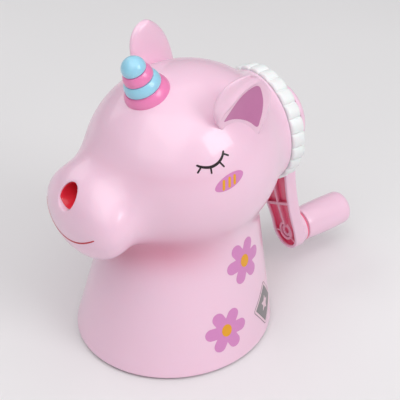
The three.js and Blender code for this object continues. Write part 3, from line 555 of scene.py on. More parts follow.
# Points (u, v) of a flat drawing laid on the body along the frame's outward direction and
# lifted off it along the surface's own normal.
def draped(spot, drawing, lift):
    middle, outward, across, upward = spot
    flat = middle + drawing[..., :1] * across + drawing[..., 1:2] * upward
    landed = reach(flat - 14 * outward, outward, far=28.0)
    return landed + lift * bodyNormal(landed)


# A film inside a closed outline (points seen from its middle): rings shrink from the outline to
# the middle on top, and grow back underneath.
def filmSurface(spot, outline, centre=(0.0, 0.0), height=inkHeight, rings=10):
    share = np.linspace(0, 1, rings)[:, None, None]
    drawing = np.array(centre) + share * (outline - np.array(centre))
    top, foot = draped(spot, drawing, height), draped(spot, drawing, inkFoot)
    return surface(np.concatenate([top, foot[::-1]]))


# A film along a line: half its width is given along the line and it closes to a point at the ends.
def strokeSurface(spot, line, halfWidth, height=inkHeight):
    ahead = np.gradient(line, axis=0)
    ahead = ahead / np.linalg.norm(ahead, axis=1, keepdims=True)
    aside = np.stack([-ahead[:, 1], ahead[:, 0]], axis=1)
    across = np.array([-1.0, -0.7, -0.35, 0.0, 0.35, 0.7, 1.0])[None, :, None]
    drawing = line[:, None, :] + across * (aside * halfWidth[:, None])[:, None, :]
    top, foot = draped(spot, drawing, height), draped(spot, drawing, inkFoot)
    return surface(np.concatenate([top, foot[:, ::-1]], axis=1))


# how far along a line each of its points lies
def runAlong(line):
    return np.r_[0, np.cumsum(np.linalg.norm(np.diff(line, axis=0), axis=1))]


def pointsAt(line, places):
    run = runAlong(line)
    return np.stack([np.interp(places * run[-1], run, line[:, k]) for k in (0, 1)], axis=1)


# width along a stroke: full in the middle, rounded to nothing at both ends
def rounded(line, half, endHalf):
    run = runAlong(line)
    full = endHalf + (half - endHalf) * np.sin(np.pi * (run / run[-1])) ** 0.7
    tip = np.minimum(run, run[-1] - run) / half
    return full * np.sqrt(1 - (1 - np.clip(tip, 0, 1)) ** 2)


# places along a line, closer together at its ends
def easing(steps):
    return 0.5 - 0.5 * np.cos(np.linspace(0, np.pi, steps))


# a film along each of a few straight lines
def strokes(spot, ends, half, height=inkHeight):
    share = easing(24)[:, None]
    lines = [np.array(start) * (1 - share) + np.array(end) * share for start, end in ends]
    return [strokeSurface(spot, line, rounded(line, half, half), height) for line in lines]


eye = {
    "spot": (-4.2, -27.6, 83.1),
    "lid": [(-4.8, 0.9), (-3.4, 0.1), (-1.7, -0.45), (0.0, -0.6), (1.7, -0.2), (3.2, 0.7), (4.3, 2.0),
            (5.0, 3.7)],
    "lidHalf": 0.47, "lidEndHalf": 0.3,
    "lashes": [((-3.3, 0.0), (-4.8, -1.8)), ((-0.2, -0.7), (-0.15, -2.9)),
               ((3.0, 0.4), (4.5, -1.6)), ((4.7, 2.7), (6.6, 1.7))],
    "lashHalf": 0.3,
}
eyeSpot = spotOn(*eye["spot"])
lid = pointsAt(smoothLine(eye["lid"]), easing(70))
lidFilm = strokeSurface(eyeSpot, lid, rounded(lid, eye["lidHalf"], eye["lidEndHalf"]))
makePiece("eyelashes", bothSides([lidFilm] + strokes(eyeSpot, eye["lashes"], eye["lashHalf"])),
          inks["dark brown"])

blush = {
    "spot": (0.8, -30.7, 76.7), "middle": (0.2, -0.2), "half": (5.6, 2.5), "tilt": 17.0, "fullness": 1.9,
    "stripes": [((-1.85, 1.0), (-2.25, -2.7)), ((0.3, 1.45), (-0.1, -2.3)), ((2.25, 1.75), (1.9, -1.8))],
    "stripeHalf": 0.46,
}


# a tilted oval: half * sign(cos) * |cos| ^ (2 / fullness) along it, and the same with sin across
def blushOutline():
    turn, tilt = wholeTurn(96), math.radians(blush["tilt"])
    long, short = (half * np.sign(way) * np.abs(way) ** (2 / blush["fullness"])
                   for half, way in zip(blush["half"], (np.cos(turn), np.sin(turn))))
    return np.stack([long * math.cos(tilt) - short * math.sin(tilt),
                     long * math.sin(tilt) + short * math.cos(tilt)], axis=1) + np.array(blush["middle"])


blushSpot = spotOn(*blush["spot"])
makePiece("blush", bothSides([filmSurface(blushSpot, blushOutline(), blush["middle"])]), inks["mauve"])
makePiece("blush_stripes", bothSides(strokes(blushSpot, blush["stripes"], blush["stripeHalf"],
                                             2 * inkHeight)), inks["orange"])

smile = {"spot": (-43.9, 0.0, 55.7), "reach": 15.1, "rise": 4.7, "half": 0.36, "endHalf": 0.2}
sweep = np.linspace(-1, 1, 120)
smileLine = pointsAt(np.stack([smile["reach"] * sweep, smile["rise"] * sweep ** 2], axis=1), easing(120))
makePiece("smile", [strokeSurface(spotOn(*smile["spot"]), smileLine,
                                  rounded(smileLine, smile["half"], smile["endHalf"]))], inks["red"])

flower = {
    "spots": [(12.0, -26.0, 36.0), (0.4, -31.9, 13.9)], "turns": [1.0, -3.0],
    "petals": 6, "petalLength": 8.5, "petalHalf": 2.35, "eyeHalf": (2.05, 2.4),
}


# A petal is a bar with a round end, seen from the flower's middle:
# its side is petalHalf / sin(angle) away and its end a circle of that radius.
def flowerOutline(turned):
    angle = wholeTurn(360)
    spread = 2 * np.pi / flower["petals"]
    off = np.abs((angle + spread / 2) % spread - spread / 2)
    half = flower["petalHalf"]
    end = flower["petalLength"] - half
    cap = end * np.cos(off) + np.sqrt(np.maximum(half ** 2 - (end * np.sin(off)) ** 2, 0))
    radius = np.where(off < math.atan2(half, end), cap, half / np.maximum(np.sin(off), 0.05))
    return ovalLine(angle + math.radians(turned), radius, radius)


petalParts, centreParts = [], []
for place, turned in zip(flower["spots"], flower["turns"]):
    spot = spotOn(*place)
    petalParts.append(filmSurface(spot, flowerOutline(turned), rings=16))
    centre = ovalLine(wholeTurn(96), *flower["eyeHalf"])
    centreParts.append(filmSurface(spot, centre, height=2 * inkHeight, rings=6))
makePiece("flower_petals", bothSides(petalParts), inks["lilac pink"])
makePiece("flower_centres", bothSides(centreParts), inks["orange"])

label = {
    "spot": (20.26, -26.74, 12.89), "middle": (2.0, -1.27), "turned": -11.4, "half": (9.1, 8.9),
    "round": 1.0, "rim": 0.8, "line": 0.3, "star": 3.2, "starNotch": 0.48,
}


# turns a drawing about its own middle and moves it to the label's
def onLabel(drawing):
    turned = math.radians(label["turned"])
    turning = np.array([[math.cos(turned), math.sin(turned)], [-math.sin(turned), math.cos(turned)]])
    return drawing @ turning + np.array(label["middle"])


# a diamond with rounded corners, pulled in by a distance
def diamond(pulled):
    wide, tall = (half - pulled * 1.41 for half in label["half"])
    corners = [(wide, 0), (0, tall), (-wide, 0), (0, -tall)]
    soft = softCorners(corners, max(label["round"] - pulled, 0.3) * 1.6, True, 8)
    return onLabel(pointsAt(np.vstack([soft, soft[:1]]), np.linspace(0, 1, 160, endpoint=False)))


def starOutline(size):
    radius = np.where(np.arange(10) % 2 == 0, size, label["starNotch"] * size)
    return onLabel(softCorners(ovalLine(wholeTurn(10) + np.pi / 2, radius, radius), 0.35, True, 5))


labelSpot = spotOn(*label["spot"])
for name, outline, colour, height in (
        ("line", diamond(0), "thin grey", inkHeight),
        ("rim", diamond(label["line"]), "pale pink", 0.07),
        ("field", diamond(label["rim"] + label["line"]), "grey", 0.09),
        ("star", starOutline(label["star"]), "pale pink", 0.11)):
    makePiece("label_" + name, [filmSurface(labelSpot, outline, label["middle"], height)], inks[colour])
print("prints made")


# Horn: four bands stacked on one pin

horn = {
    "x": -10.0, "lean": 25.0, "seams": (0.0, 2.6, 6.3, 9.9), "length": 14.7,
    "radii": (7.6, 6.35, 5.1, 4.1), "bore": 1.8, "round": 0.3, "bulge": 0.34,
    "footFlare": 0.25, "footDepth": 0.7, "footBulge": 0.35, "footCurve": 1.15,
    "tipTaper": 1.25, "tipRise": 0.95, "tipHollow": 0.4, "spread": 0.05, "segments": 120,
}
hornLean = math.radians(horn["lean"])
hornUp = np.array([-math.sin(hornLean), 0, math.cos(hornLean)])
hornFoot = reach(np.array([horn["x"], 0, pencilHeight]), alongZ)


# a band's wall is a line from low to high radius that swells by a sine in the middle
def hornBand(k):
    start = horn["seams"][k] + gap / 2
    end = horn["seams"][k + 1] - gap / 2
    low, high = horn["radii"][k:k + 2]
    share = np.linspace(0, 1, 13)
    radius = low + (high - low) * share + horn["bulge"] * np.sin(np.pi * share)
    wall = np.stack([radius, start + (end - start) * share], axis=1)
    profile = np.vstack([[(horn["bore"], start)], wall, [(horn["bore"], end)]])
    sizes = np.zeros(len(profile))
    sizes[[1, len(wall)]] = horn["round"]
    return turnedSurface(softCorners(profile, sizes, True), hornFoot, hornUp, horn["segments"], True)


# The lowest band flares a little and each of its columns runs down the horn's axis into the skull.
def hornFootBand():
    side, other = square(hornUp)
    turn = wholeTurn(horn["segments"])[None, :, None]
    outward = np.cos(turn) * side + np.sin(turn) * other
    low = horn["radii"][0] + horn["footFlare"]
    top = hornFoot + (horn["seams"][1] - gap / 2) * hornUp
    column = top + low * outward
    foot = reach(column - 30 * hornUp, hornUp, -horn["footDepth"], 30.0)
    depth = ((column - foot) @ hornUp)[..., None]
    share = np.linspace(0, 1, 20)[:, None, None]
    radius = (low + (horn["radii"][1] + horn["spread"] - low) * share ** horn["footCurve"]
              + horn["footBulge"] * np.sin(np.pi * share))
    wall = top - depth * (1 - share) * hornUp + radius * outward
    inset = horn["round"]
    lip = [top + (radius[-1] - inset * (1 - math.cos(a))) * outward + inset * math.sin(a) * hornUp
           - inset * hornUp for a in np.radians([30, 60, 90])]
    wall[-1] = wall[-1] - inset * hornUp
    bore = top + horn["bore"] * outward
    return surface(np.concatenate([wall] + lip + [bore, bore - depth * hornUp]), True, True)


def hornTip():
    start = horn["seams"][3] + gap / 2
    radius = horn["radii"][3]
    angle = np.linspace(0, np.pi / 2, 24)
    rise = horn["length"] - radius * horn["tipRise"]
    dome = np.stack([radius * np.cos(angle) ** horn["tipTaper"],
                     rise + radius * horn["tipRise"] * np.sin(angle)], axis=1)
    dome[-1, 0] = 0
    profile = np.vstack([[(0, start + horn["tipHollow"])], [(radius + horn["spread"], start)], dome])
    sizes = np.zeros(len(profile))
    sizes[1] = horn["round"]
    return turnedSurface(softCorners(profile, sizes), hornFoot, hornUp, horn["segments"])


for name, part, node, colour in (
        ("foot", hornFootBand(), "foot", "pink"), ("second_band", hornBand(1), "band", "blue"),
        ("third_band", hornBand(2), "band", "pink"), ("tip", hornTip(), "tip", "blue")):
    makePiece("horn_" + name, [part], hornPlastics[colour], "horn_" + colour,
              ["horn_" + node + "_" + colour])
print("horn made")


# Ears: a leaf with a rolled front margin round a shallow dish

ear = {
    "x": 7.8, "y": 22.6, "height": 18.3, "half": 11.2, "fullness": 3.35, "taper": 0.6,
    "up": (0.235, -0.165, 0.958), "out": (-0.184, -0.975, -0.122),
    "thickness": 2.6, "flare": 1.03, "footDepth": 0.9,
    "drawn": 0.58, "drawnFrom": 1.5, "drawnFade": 5, "drawnSide": 1.6, "drawnMost": 0.7,
    "ridge": [(-8.3, 0.0), (-7.2, 5.0), (-4.6, 9.5), (-1.2, 13.2), (2.0, 16.0)],
    "ridgeHeight": 1.6, "ridgeWidth": 1.7, "dish": 1.6, "dishAt": 3.2, "dishHalf": 7.5,
    "patch": [(-4.7, 1.2), (-2.9, 5.0), (-0.9, 9.3), (1.1, 12.1), (2.7, 13.8), (4.1, 14.4), (5.5, 13.3),
              (7.6, 9.6), (8.8, 5.4), (9.2, 2.0), (9.1, -0.8), (6.0, 0.5), (2.1, 1.2), (-1.8, 1.4)],
    "right": (-0.25, 0.013, 0.9),   # the right ear leans further forward and narrows more
}
earUp = np.array(ear["up"]) / np.linalg.norm(ear["up"])
earAcross = np.cross(earUp, ear["out"])
earAcross = earAcross / np.linalg.norm(earAcross)
earOut = np.cross(earAcross, earUp)
earFoot = reach(np.array([ear["x"], -ear["y"], pencilHeight]), alongZ)


# half the leaf's width at a height: (1 - (h / H) ^ fullness) ^ taper, and on the front side an
# exponential draws it in towards the foot
def earHalf(height, wayOver):
    share = np.clip(height / ear["height"], 0, 1)
    half = ear["half"] * (1 - share ** ear["fullness"]) ** ear["taper"]
    drawn = (ear["drawn"] * np.exp(-(height + ear["drawnFrom"]) / ear["drawnFade"])
             * np.clip(-ear["drawnSide"] * wayOver, 0, 1))
    return half * (1 - np.minimum(drawn, ear["drawnMost"]))


# The outer face: edges flare out with the square of the way across, a ridge runs up the front
# margin as a bell curve, and the dish behind it sinks towards the middle of the leaf.
def earFace(across, height, wayOver):
    fade = np.clip(1 - (np.clip(height, 0, None) / ear["height"]) ** 4, 0, 1)
    places = np.array(ear["ridge"])
    ridgeAt = np.interp(height, places[:, 1], places[:, 0])
    roll = ear["ridgeHeight"] * np.exp(-((across - ridgeAt) / ear["ridgeWidth"]) ** 2) * fade
    dish = np.clip(1 - ((across - ear["dishAt"]) / ear["dishHalf"]) ** 2, 0, 1) ** 1.2
    return ear["flare"] * wayOver ** 2 + roll - ear["dish"] * dish * fade


# How far out the skin lies. Edge is 1 in the middle of the outer face, 0 at the leaf's edge and -1
# behind: the face fades into the leaf's middle line with it, and so does half the thickness.
def earSkin(across, height, wayOver, edge):
    thin = np.sqrt(np.maximum(1 - np.clip(height / ear["height"], 0, 1) ** 8, 0))
    middleLine = ear["flare"] * wayOver ** 2
    face = np.where(edge > 0, earFace(across, height, wayOver), middleLine)
    return middleLine + (face - middleLine) * np.abs(edge) + ear["thickness"] / 2 * edge * thin


def earEdge(wayOver):
    return np.sqrt(np.maximum(1 - np.abs(wayOver) ** 5, 0))


def earPoint(across, height, outward):
    flat = earFoot + across[..., None] * earAcross + height[..., None] * earUp
    return flat + outward[..., None] * earOut


def earSurface():
    turn = wholeTurn(128)
    over = np.sign(np.cos(turn)) * np.abs(np.cos(turn)) ** 0.75
    edge = earEdge(over) * np.sign(np.sin(turn))
    # each column starts where it leaves the skull
    across = over * earHalf(0 * over, over)
    probe = earPoint(across, np.full_like(across, 14.0), ear["flare"] * over ** 2)
    foot = reach(probe - 40 * earUp, earUp, -ear["footDepth"], 40.0)
    lowest = (foot - earFoot) @ earUp
    share = np.sin(np.linspace(0, np.pi / 2, 64))[:, None]
    height = lowest + (ear["height"] - lowest) * share
    wide = over * earHalf(height, over)
    skin = earPoint(wide, height, earSkin(wide, height, over, edge))
    base = np.repeat(skin[:1].mean(axis=1, keepdims=True), skin.shape[1], axis=1)
    return surface(np.concatenate([base, skin]))


# the printed patch lies on the dish
def earPatch():
    outline = np.array(ear["patch"])
    line = smoothLine(np.vstack([outline, outline[:1]]), 8)[:-1]
    centre = line.mean(axis=0)
    share = np.linspace(0, 1, 14)[:, None, None]
    drawing = centre + share * (line - centre)
    across, height = drawing[..., 0], drawing[..., 1]
    over = np.clip(across / earHalf(height, across / ear["half"]), -0.999, 0.999)
    skin = earSkin(across, height, over, earEdge(over))
    return surface(np.concatenate([earPoint(across, height, skin + inkHeight),
                                   earPoint(across, height, skin + inkFoot)[::-1]]))


# Leans and narrows an ear about its foot: the way across grows by lean * height and shrinks by
# narrow * height, and the height is scaled.
def leaned(part, lean, narrow, tall):
    points, faces, depth = part
    across = (points - earFoot) @ earAcross
    above = np.clip((points - earFoot) @ earUp, 0, None)
    moved = points + (above * lean - across * above * narrow)[:, None] * earAcross
    return moved + (above * (tall - 1))[:, None] * earUp, faces, depth


leftEar, leftPatch = earSurface(), earPatch()
rightEar, rightPatch = (mirrored(leaned(part, *ear["right"])) for part in (leftEar, leftPatch))
for side, part in (("left", leftEar), ("right", rightEar)):
    makePiece(side + "_ear", [part], pinkPlastic, "shell_pink", ["ear_" + side], sharp=60.0)
makePiece("ear_patches", [leftPatch, rightPatch], inks["plum pink"])
print("ears made")


# Pencil guide: the red tube behind the nose hole

guide = {
    "bore": 4.4, "wall": 1.5, "end": -17.0, "setBack": 1.2, "soft": 0.2,
    "sleeve": ((-0.4, -0.8), (-0.35, -0.6), (-0.2, -0.55), (-0.1, -0.65)),   # past the hole, depth
    "earX": -29.0, "earReach": 12.5, "earHalf": 4.0, "earThick": 2.0, "earHole": 5.0, "segments": 96,
}


# The tube's front edge follows the nose, and a thin sleeve lines the nose hole: each column of a
# row starts where it meets the given depth in the wall.
# The sleeve's red is painted shade: it stands in for the dark red shade inside the nose hole.
def guideTube():
    turn = wholeTurn(guide["segments"])[None, :, None]
    outward = np.sin(turn) * alongY + np.cos(turn) * alongZ
    hole, soft, bore = body["noseHole"], guide["soft"], guide["bore"]
    outer = bore + guide["wall"]
    clear = -body["wall"] - gap
    low = np.clip(-1.6 * np.cos(turn[..., 0]) - 0.6, 0, 1) * guide["setBack"]   # deeper at the bottom
    fronts = [(hole + past, depth - low) for past, depth in guide["sleeve"]]
    fronts += [(hole - 0.1, clear), (outer - soft, clear), (outer, clear - soft)]
    rows = [reach(pencilLine + guide["earX"] * alongX + radius * outward, -alongX, level, 40.0)
            for radius, level in fronts]
    end = pencilLine + guide["end"] * alongX
    corners = [end - soft * alongX + outer * outward, end + (outer - soft) * outward,
               end + (bore + soft) * outward, end - soft * alongX + bore * outward]
    outerRun, innerRun = ([a * (1 - t) + b * t for t in (0.25, 0.5, 0.75)]
                          for a, b in ((rows[-1], corners[0]), (corners[3], rows[0])))
    return surface(np.concatenate(rows + outerRun + corners + innerRun), True, True)


# a flat plate with rounded ends across the tube, with a hole for it
def guidePlate():
    half, turn = guide["earHalf"], wholeTurn(guide["segments"])
    outer = ovalLine(turn, half, half)
    outer[:, 0] += (guide["earReach"] - half) * np.tanh(6 * np.cos(turn))
    inner = ovalLine(turn, guide["earHole"], guide["earHole"])
    front, back = guide["earX"], guide["earX"] + guide["earThick"]
    rows = [np.stack([np.full_like(turn, x), line[:, 0], pencilHeight + line[:, 1]], axis=1)
            for line, x in ((inner, front), (outer * 0.97, front), (outer, front + 0.3),
                            (outer, back - 0.3), (outer * 0.97, back), (inner, back))]
    return surface(np.stack(rows), True, True)


makePiece("pencil_tube", [guideTube(), guidePlate()], holeShadeRedPlastic, "guide_red", ["pencil_guide"])
print("pencil guide made")


# Mane ring: a lobed white collar

mane = {
    "radius": 21.3, "front": 36.1, "thick": 5.3, "lobes": 24, "notch": 1.0, "sharpness": 0.5,
    "round": 1.3, "inner": 17.3, "web": 2.5, "bore": 5.8,
}


# The ring's outline shrinks between lobes by notch * (1 - |sin(lobes * turn / 2)| ^ sharpness);
# the shrinking fades out towards the inner edge of each flat face.
def maneSurface():
    front, back = mane["front"], mane["front"] + mane["thick"]
    webFront = back - mane["web"]
    profile = [(mane["inner"], webFront), (mane["inner"], front), (mane["radius"], front),
               (mane["radius"], back), (mane["bore"], back), (mane["bore"], webFront)]
    profile = softCorners(profile, [0.2, 0.3, mane["round"], mane["round"], 0.4, 0.2], True, 9)
    turn = wholeTurn(480)[None, :]
    dip = mane["notch"] * (1 - np.abs(np.sin(mane["lobes"] * turn / 2)) ** mane["sharpness"])
    share = np.clip((profile[:, 0] - mane["inner"]) / (mane["radius"] - mane["inner"]), 0, 1)[:, None]
    radius = profile[:, :1] - dip * share ** 1.5
    points = [np.broadcast_to(profile[:, 1:], radius.shape), radius * np.sin(turn),
              pencilHeight + radius * np.cos(turn)]
    return surface(np.stack(points, axis=-1), True, True)


makePiece("mane_collar", [maneSurface()], whitePlastic, "mane_white", ["mane_ring"], "cartridge", 50.0)
print("mane ring made")


# Crank: arm with a ribbed pocket, hub, cap, pin and knob

crank = {
    "reach": 55.2, "thick": 4.9, "bow": 11.1, "topHalf": 10.5, "endHalf": 7.4, "endBlend": 3.0,
    "backRound": 0.8, "rimRound": 0.45,
    "rim": 1.2, "floor": 1.8, "pocketTop": 56.5, "pocketSquare": 5.0, "pocketPower": 0.45,
    "pocketRound": 0.35, "pocketSlope": 0.12, "floorRound": 0.4,
    "ribDepth": 0.5, "ribs": (58.0, 44.0, 29.9), "ribSlant": 0.58, "ribHalf": 0.65, "spineHalf": 0.7,
    "hubRadius": 12.0, "hubFront": 41.8, "hubThick": 5.2,
    "capHeight": 4.2, "capRim": 0.6,
    "pin": 2.0, "pinHead": 2.6, "bossRadius": 3.8, "bossDepth": 2.5, "backBoss": 6.5,
    "backBossHeight": 1.9,
    "knobLength": 22.1, "knobRadius": 6.76, "knobBarrel": 0.35, "knobRound": 2.7,
}
knobHeight = pencilHeight - crank["reach"]
armEnd = crank["hubFront"] + crank["bow"]
knobLine = np.array([0.0, 0.0, knobHeight])
armSlope = (crank["topHalf"] - crank["endHalf"]) / crank["reach"]
armSlant = math.asin(armSlope)


# where the arm's front face lies at a height: a parabola from the hub that melts into a level end
def armFront(z):
    drop = np.clip((pencilHeight - z) / crank["reach"], 0, None)
    curve = crank["hubFront"] + crank["bow"] * drop ** 2
    return melt(curve, np.full_like(curve, armEnd), crank["endBlend"])


# a bottom and a top curve joined by straight sides
def joined(bottom, top):
    share = np.linspace(0, 1, 42)[1:-1, None]
    return np.vstack([bottom, bottom[-1] * (1 - share) + top[0] * share,
                      top, top[-1] * (1 - share) + bottom[0] * share])


# the arm's round lower end, pulled in by a distance
def armBottom(pulled):
    low = crank["endHalf"] - pulled
    return ovalLine(np.linspace(np.pi + armSlant, 2 * np.pi - armSlant, 49), low, low) + (0, knobHeight)


def armOutline(pulled):
    high = crank["topHalf"] - pulled
    top = ovalLine(np.linspace(-armSlant, np.pi + armSlant, 49), high, high) + (0, pencilHeight)
    return joined(armBottom(pulled), top)


# The pocket's outline, point for point with the arm's: its top is a rounded square end at pocketTop.
def pocketOutline(pulled):
    shoulder = crank["pocketTop"] - crank["pocketSquare"]
    half = (crank["endHalf"] + (shoulder - knobHeight) * math.tan(armSlant) - crank["rim"]) - pulled
    high, power = crank["pocketSquare"] - pulled, crank["pocketPower"]
    angle = np.linspace(0, np.pi, 49)
    top = np.stack([half * np.sign(np.cos(angle)) * np.abs(np.cos(angle)) ** power,
                    shoulder + high * np.abs(np.sin(angle)) ** power], axis=1)
    return joined(armBottom(crank["rim"] + pulled), top)


# points (y, z) of the arm's front, set back into it by a distance
def armRow(line, into):
    return np.stack([armFront(line[..., 1]) + into, line[..., 0], line[..., 1]], axis=-1)


# The arm is one skin: up its back, round the edge, over the rim, down the pocket's wall and across
# the floor.
def armSurface():
    thick, floor, edge = crank["thick"], crank["floor"], crank["backRound"]
    rim, lip = crank["rimRound"], crank["pocketRound"]
    slope, corner = crank["pocketSlope"], crank["floorRound"]
    # painted shade: each row's share of deep pink, rising down the pocket's wall to full on its floor
    rows, depth = [], []

    def add(line, into, deep=0.0):
        rows.append(armRow(line, into))
        depth.append(deep)

    thirds = np.radians([30, 60, 90])
    for share in np.linspace(0, 1, 9):
        add(armOutline(edge) * np.array([share, 1.0]), thick)
    for angle in np.radians([22, 45, 68, 90]):
        add(armOutline(edge * (1 - math.sin(angle))), thick - edge * (1 - math.cos(angle)))
    for share in np.linspace(0, 1, 7):
        add(armOutline(0.0), (thick - edge) * (1 - share) + rim * share)
    for angle in thirds:
        add(armOutline(rim * (1 - math.cos(angle))), rim * (1 - math.sin(angle)))
    for share in np.linspace(0, 1, 11)[1:]:
        add(armOutline(rim) * (1 - share) + pocketOutline(-lip) * share, 0.0)
    for angle in thirds:
        add(pocketOutline(-lip * (1 - math.sin(angle))), lip * (1 - math.cos(angle)),
            0.12 * math.sin(angle))
    for share in np.linspace(0, 1, 8)[1:]:
        add(pocketOutline(slope * share), lip + (floor - lip - corner) * share,
            0.12 + 0.88 * min(1, 1.6 * share))
    for angle in thirds:
        add(pocketOutline(slope + corner * (1 - math.cos(angle))),
            floor - corner + corner * math.sin(angle), 1.0)
    for share in np.linspace(1, 0, 9)[1:]:
        add(pocketOutline(slope + corner) * np.array([share, 1.0]), floor, 1.0)
    return surface(np.stack(rows), True, False, depth)


# how much painted shade, as deep pink, shows a distance below the ribs' tops
def ribShadeBelowTop(below):
    return np.clip(0.42 + 0.5 * below / 1.2, 0, 1)


# A bar with soft corners laid in the pocket between two (y, z) points of the arm. Its section is
# half wide to each side and goes from ribDepth down into the floor.
def ribSurface(start, end, half, steps=30):
    start, end = np.asarray(start, float), np.asarray(end, float)
    ahead = (end - start) / np.linalg.norm(end - start)
    aside = np.array([-ahead[1], ahead[0]])
    low, top = crank["floor"] + 0.5, crank["ribDepth"]
    section = softCorners([(-half, low), (-half, top), (half, top), (half, low)], [0, 0.3, 0.3, 0])
    run = np.linspace(0, 1, steps)[:, None]
    flat = (start * (1 - run) + end * run)[:, None, :] + section[None, :, :1] * aside
    points = armRow(flat, section[:, 1])
    ends = points.mean(axis=1, keepdims=True)
    closed = np.concatenate([np.repeat(ends[:1], len(section), axis=1), points,
                             np.repeat(ends[-1:], len(section), axis=1)])
    return surface(np.transpose(closed, (1, 0, 2)), False, True, ribShadeBelowTop(section[:, 1] - top))


# The spine runs up the middle and the cross ribs run on a slant from side to side.
def ribs():
    top = crank["pocketTop"]
    parts = [ribSurface((0, knobHeight + 3.4), (0, top - 0.1), crank["spineHalf"], 44)]
    for z in crank["ribs"]:
        half = (crank["endHalf"] + (min(z, top - crank["pocketSquare"]) - knobHeight) * armSlope
                - crank["rim"] + 0.1)
        rise = half * crank["ribSlant"]
        if z + rise <= top:
            parts.append(ribSurface((half, z - rise), (-half, z + rise), crank["ribHalf"]))
    for side in (-1, 1):
        parts.append(ribSurface((side * 2.8, knobHeight - 1.6), (side * 5.6, knobHeight - 2.6), 0.4, 6))
    return parts


# the ring round the pin in the pocket, the pad behind it and the hub
def armBosses():
    front, radius = armEnd, crank["bossRadius"]
    inner, deep = crank["pin"] + 0.75, armEnd + crank["bossDepth"]
    ring = softCorners([(inner, deep), (inner, front), (radius, front), (radius, deep)],
                       [0, 0.25, 0.3, 0], True)
    back, half = armEnd + crank["thick"], crank["backBoss"]
    padEnd = back + crank["backBossHeight"]
    pad = softCorners([(0, back - 1.6), (half, back - 1.6), (half, padEnd - 0.9), (half, padEnd - 0.75),
                       (half, padEnd), (0, padEnd)], [0, 0, 0, 0, 0.3, 0], False, 6)
    hubFront, hubRadius = crank["hubFront"], crank["hubRadius"]
    hubBack = hubFront + crank["hubThick"]
    hub = softCorners([(0, hubFront), (hubRadius, hubFront), (hubRadius, hubBack), (0, hubBack)],
                      [0, 0.6, 0.4, 0], False, 6)
    # painted shade: the ring in the pocket deepens below the ribs' tops, and the pad's end, in the gap
    # before the knob, is painted deep pink
    return [turnedSurface(ring, knobLine, alongX, 72, True, ribShadeBelowTop(ring[:, 1] - front)),
            turnedSurface(pad, knobLine, alongX, 96, False, 0.85 * (pad[:, 1] > padEnd - 0.8)),
            turnedSurface(hub, pencilLine, alongX, 120)]


makePiece("crank_arm_moulding", [armSurface()] + ribs() + armBosses(), pocketShadedPlastic, "shell_pink",
          ["crank_arm"], "crank", 40.0)

capFrom = crank["hubFront"] + crank["hubThick"] + gap
domeTurn = np.linspace(0, np.pi / 2, 28)
dome = np.stack([crank["hubRadius"] * np.cos(domeTurn) ** 0.8, capFrom + crank["capRim"]
                 + (crank["capHeight"] - crank["capRim"]) * np.sin(domeTurn)], axis=1)
dome[-1, 0] = 0
capProfile = softCorners(np.vstack([[(0, capFrom), (crank["hubRadius"], capFrom)], dome]),
                         [0, 0.3] + [0] * len(dome))
makePiece("crank_cap", [turnedSurface(capProfile, pencilLine, alongX, 120)], pinkPlastic, "shell_pink",
          ["hub_cap"], "crank")

knobFrom = armEnd + crank["thick"] + crank["backBossHeight"] + gap
knobTo = knobFrom + crank["knobLength"]
pinFront, pinEnd, pin, pinHead = armEnd + 0.5, knobTo - 4, crank["pin"], crank["pinHead"]
pinProfile = softCorners([(0, pinFront + 1.2), (1.25, pinFront + 1.0), (1.35, pinFront),
                          (pinHead, pinFront), (pinHead, pinFront + 1.1), (pin, pinFront + 1.1),
                          (pin, pinEnd), (0, pinEnd)], [0, 0.2, 0.15, 0.25, 0.2, 0.2, 0.5, 0])
# painted shade: the hollow in the pin's head takes the full deep pink, the rest of the pin less
pinShade = np.where(pinProfile[:, 0] < 1.32, 1.0, 0.4)      # the hollow in its head is deeper pink
makePiece("knob_pin_moulding", [turnedSurface(pinProfile, knobLine, alongX, 64, False, pinShade)],
          pocketShadedPlastic, "shell_pink", ["knob_pin"], "crank")

# a knob with a bore from the front, a slightly barrelled side and a rounded end
share = np.linspace(0.04, 0.86, 24)
barrel = np.stack([crank["knobRadius"] - crank["knobBarrel"] * (2 * share - 1) ** 2,
                   knobFrom + crank["knobLength"] * share], axis=1)
endTurn = np.linspace(0, np.pi / 2, 16)
roundEnd = np.stack([barrel[-1, 0] - crank["knobRound"] * (1 - np.cos(endTurn)),
                     knobTo - crank["knobRound"] * (1 - np.sin(endTurn))], axis=1)
knobStart = [(0, knobTo - 3), (pin + 0.5, knobTo - 3), (pin + 0.5, knobFrom + 0.3),
             (pin + 0.8, knobFrom), (crank["knobRadius"] - 1.1, knobFrom),
             (crank["knobRadius"] - 0.5, knobFrom + 0.35)]
knobProfile = np.vstack([knobStart, barrel, roundEnd, [(0, knobTo)]])
makePiece("crank_knob_sleeve", [turnedSurface(knobProfile, knobLine, alongX, 120)], pinkPlastic,
          "shell_pink", ["crank_knob"], "knob")
print("crank made")


# Base cover and feet

cover = {
    "floor": 2.0, "wall": 1.5, "height": 10.0, "slack": 0.6,
    "footRadius": 4.3, "footPlace": 27.8, "footDrop": 1.0, "footTop": 0.5,
}


# a tray: an oval that follows the inside of the neck, pulled in by a distance at each height
def coverSurface():
    outer, floor, height = body["wall"] + cover["slack"], cover["floor"], cover["height"]
    inner = outer + cover["wall"]
    profile = softCorners([(0, 0), (outer, 0), (outer, height), (inner, height), (inner, floor),
                           (0, floor)], [0, 0.5, 0.3, 0.3, 0.8, 0])
    turn = wholeTurn(160)
    pulled, z = profile[:, :1], profile[:, 1:]
    share = z / body["neckHeight"]
    halfLength, halfWidth = (np.where(pulled == 0, 0.0, half - pulled) for half in neckHalves(share))
    points = [body["neckLean"] * share + halfLength * np.cos(turn), halfWidth * np.sin(turn),
              z + 0 * turn]
    return surface(np.stack(points, axis=-1))


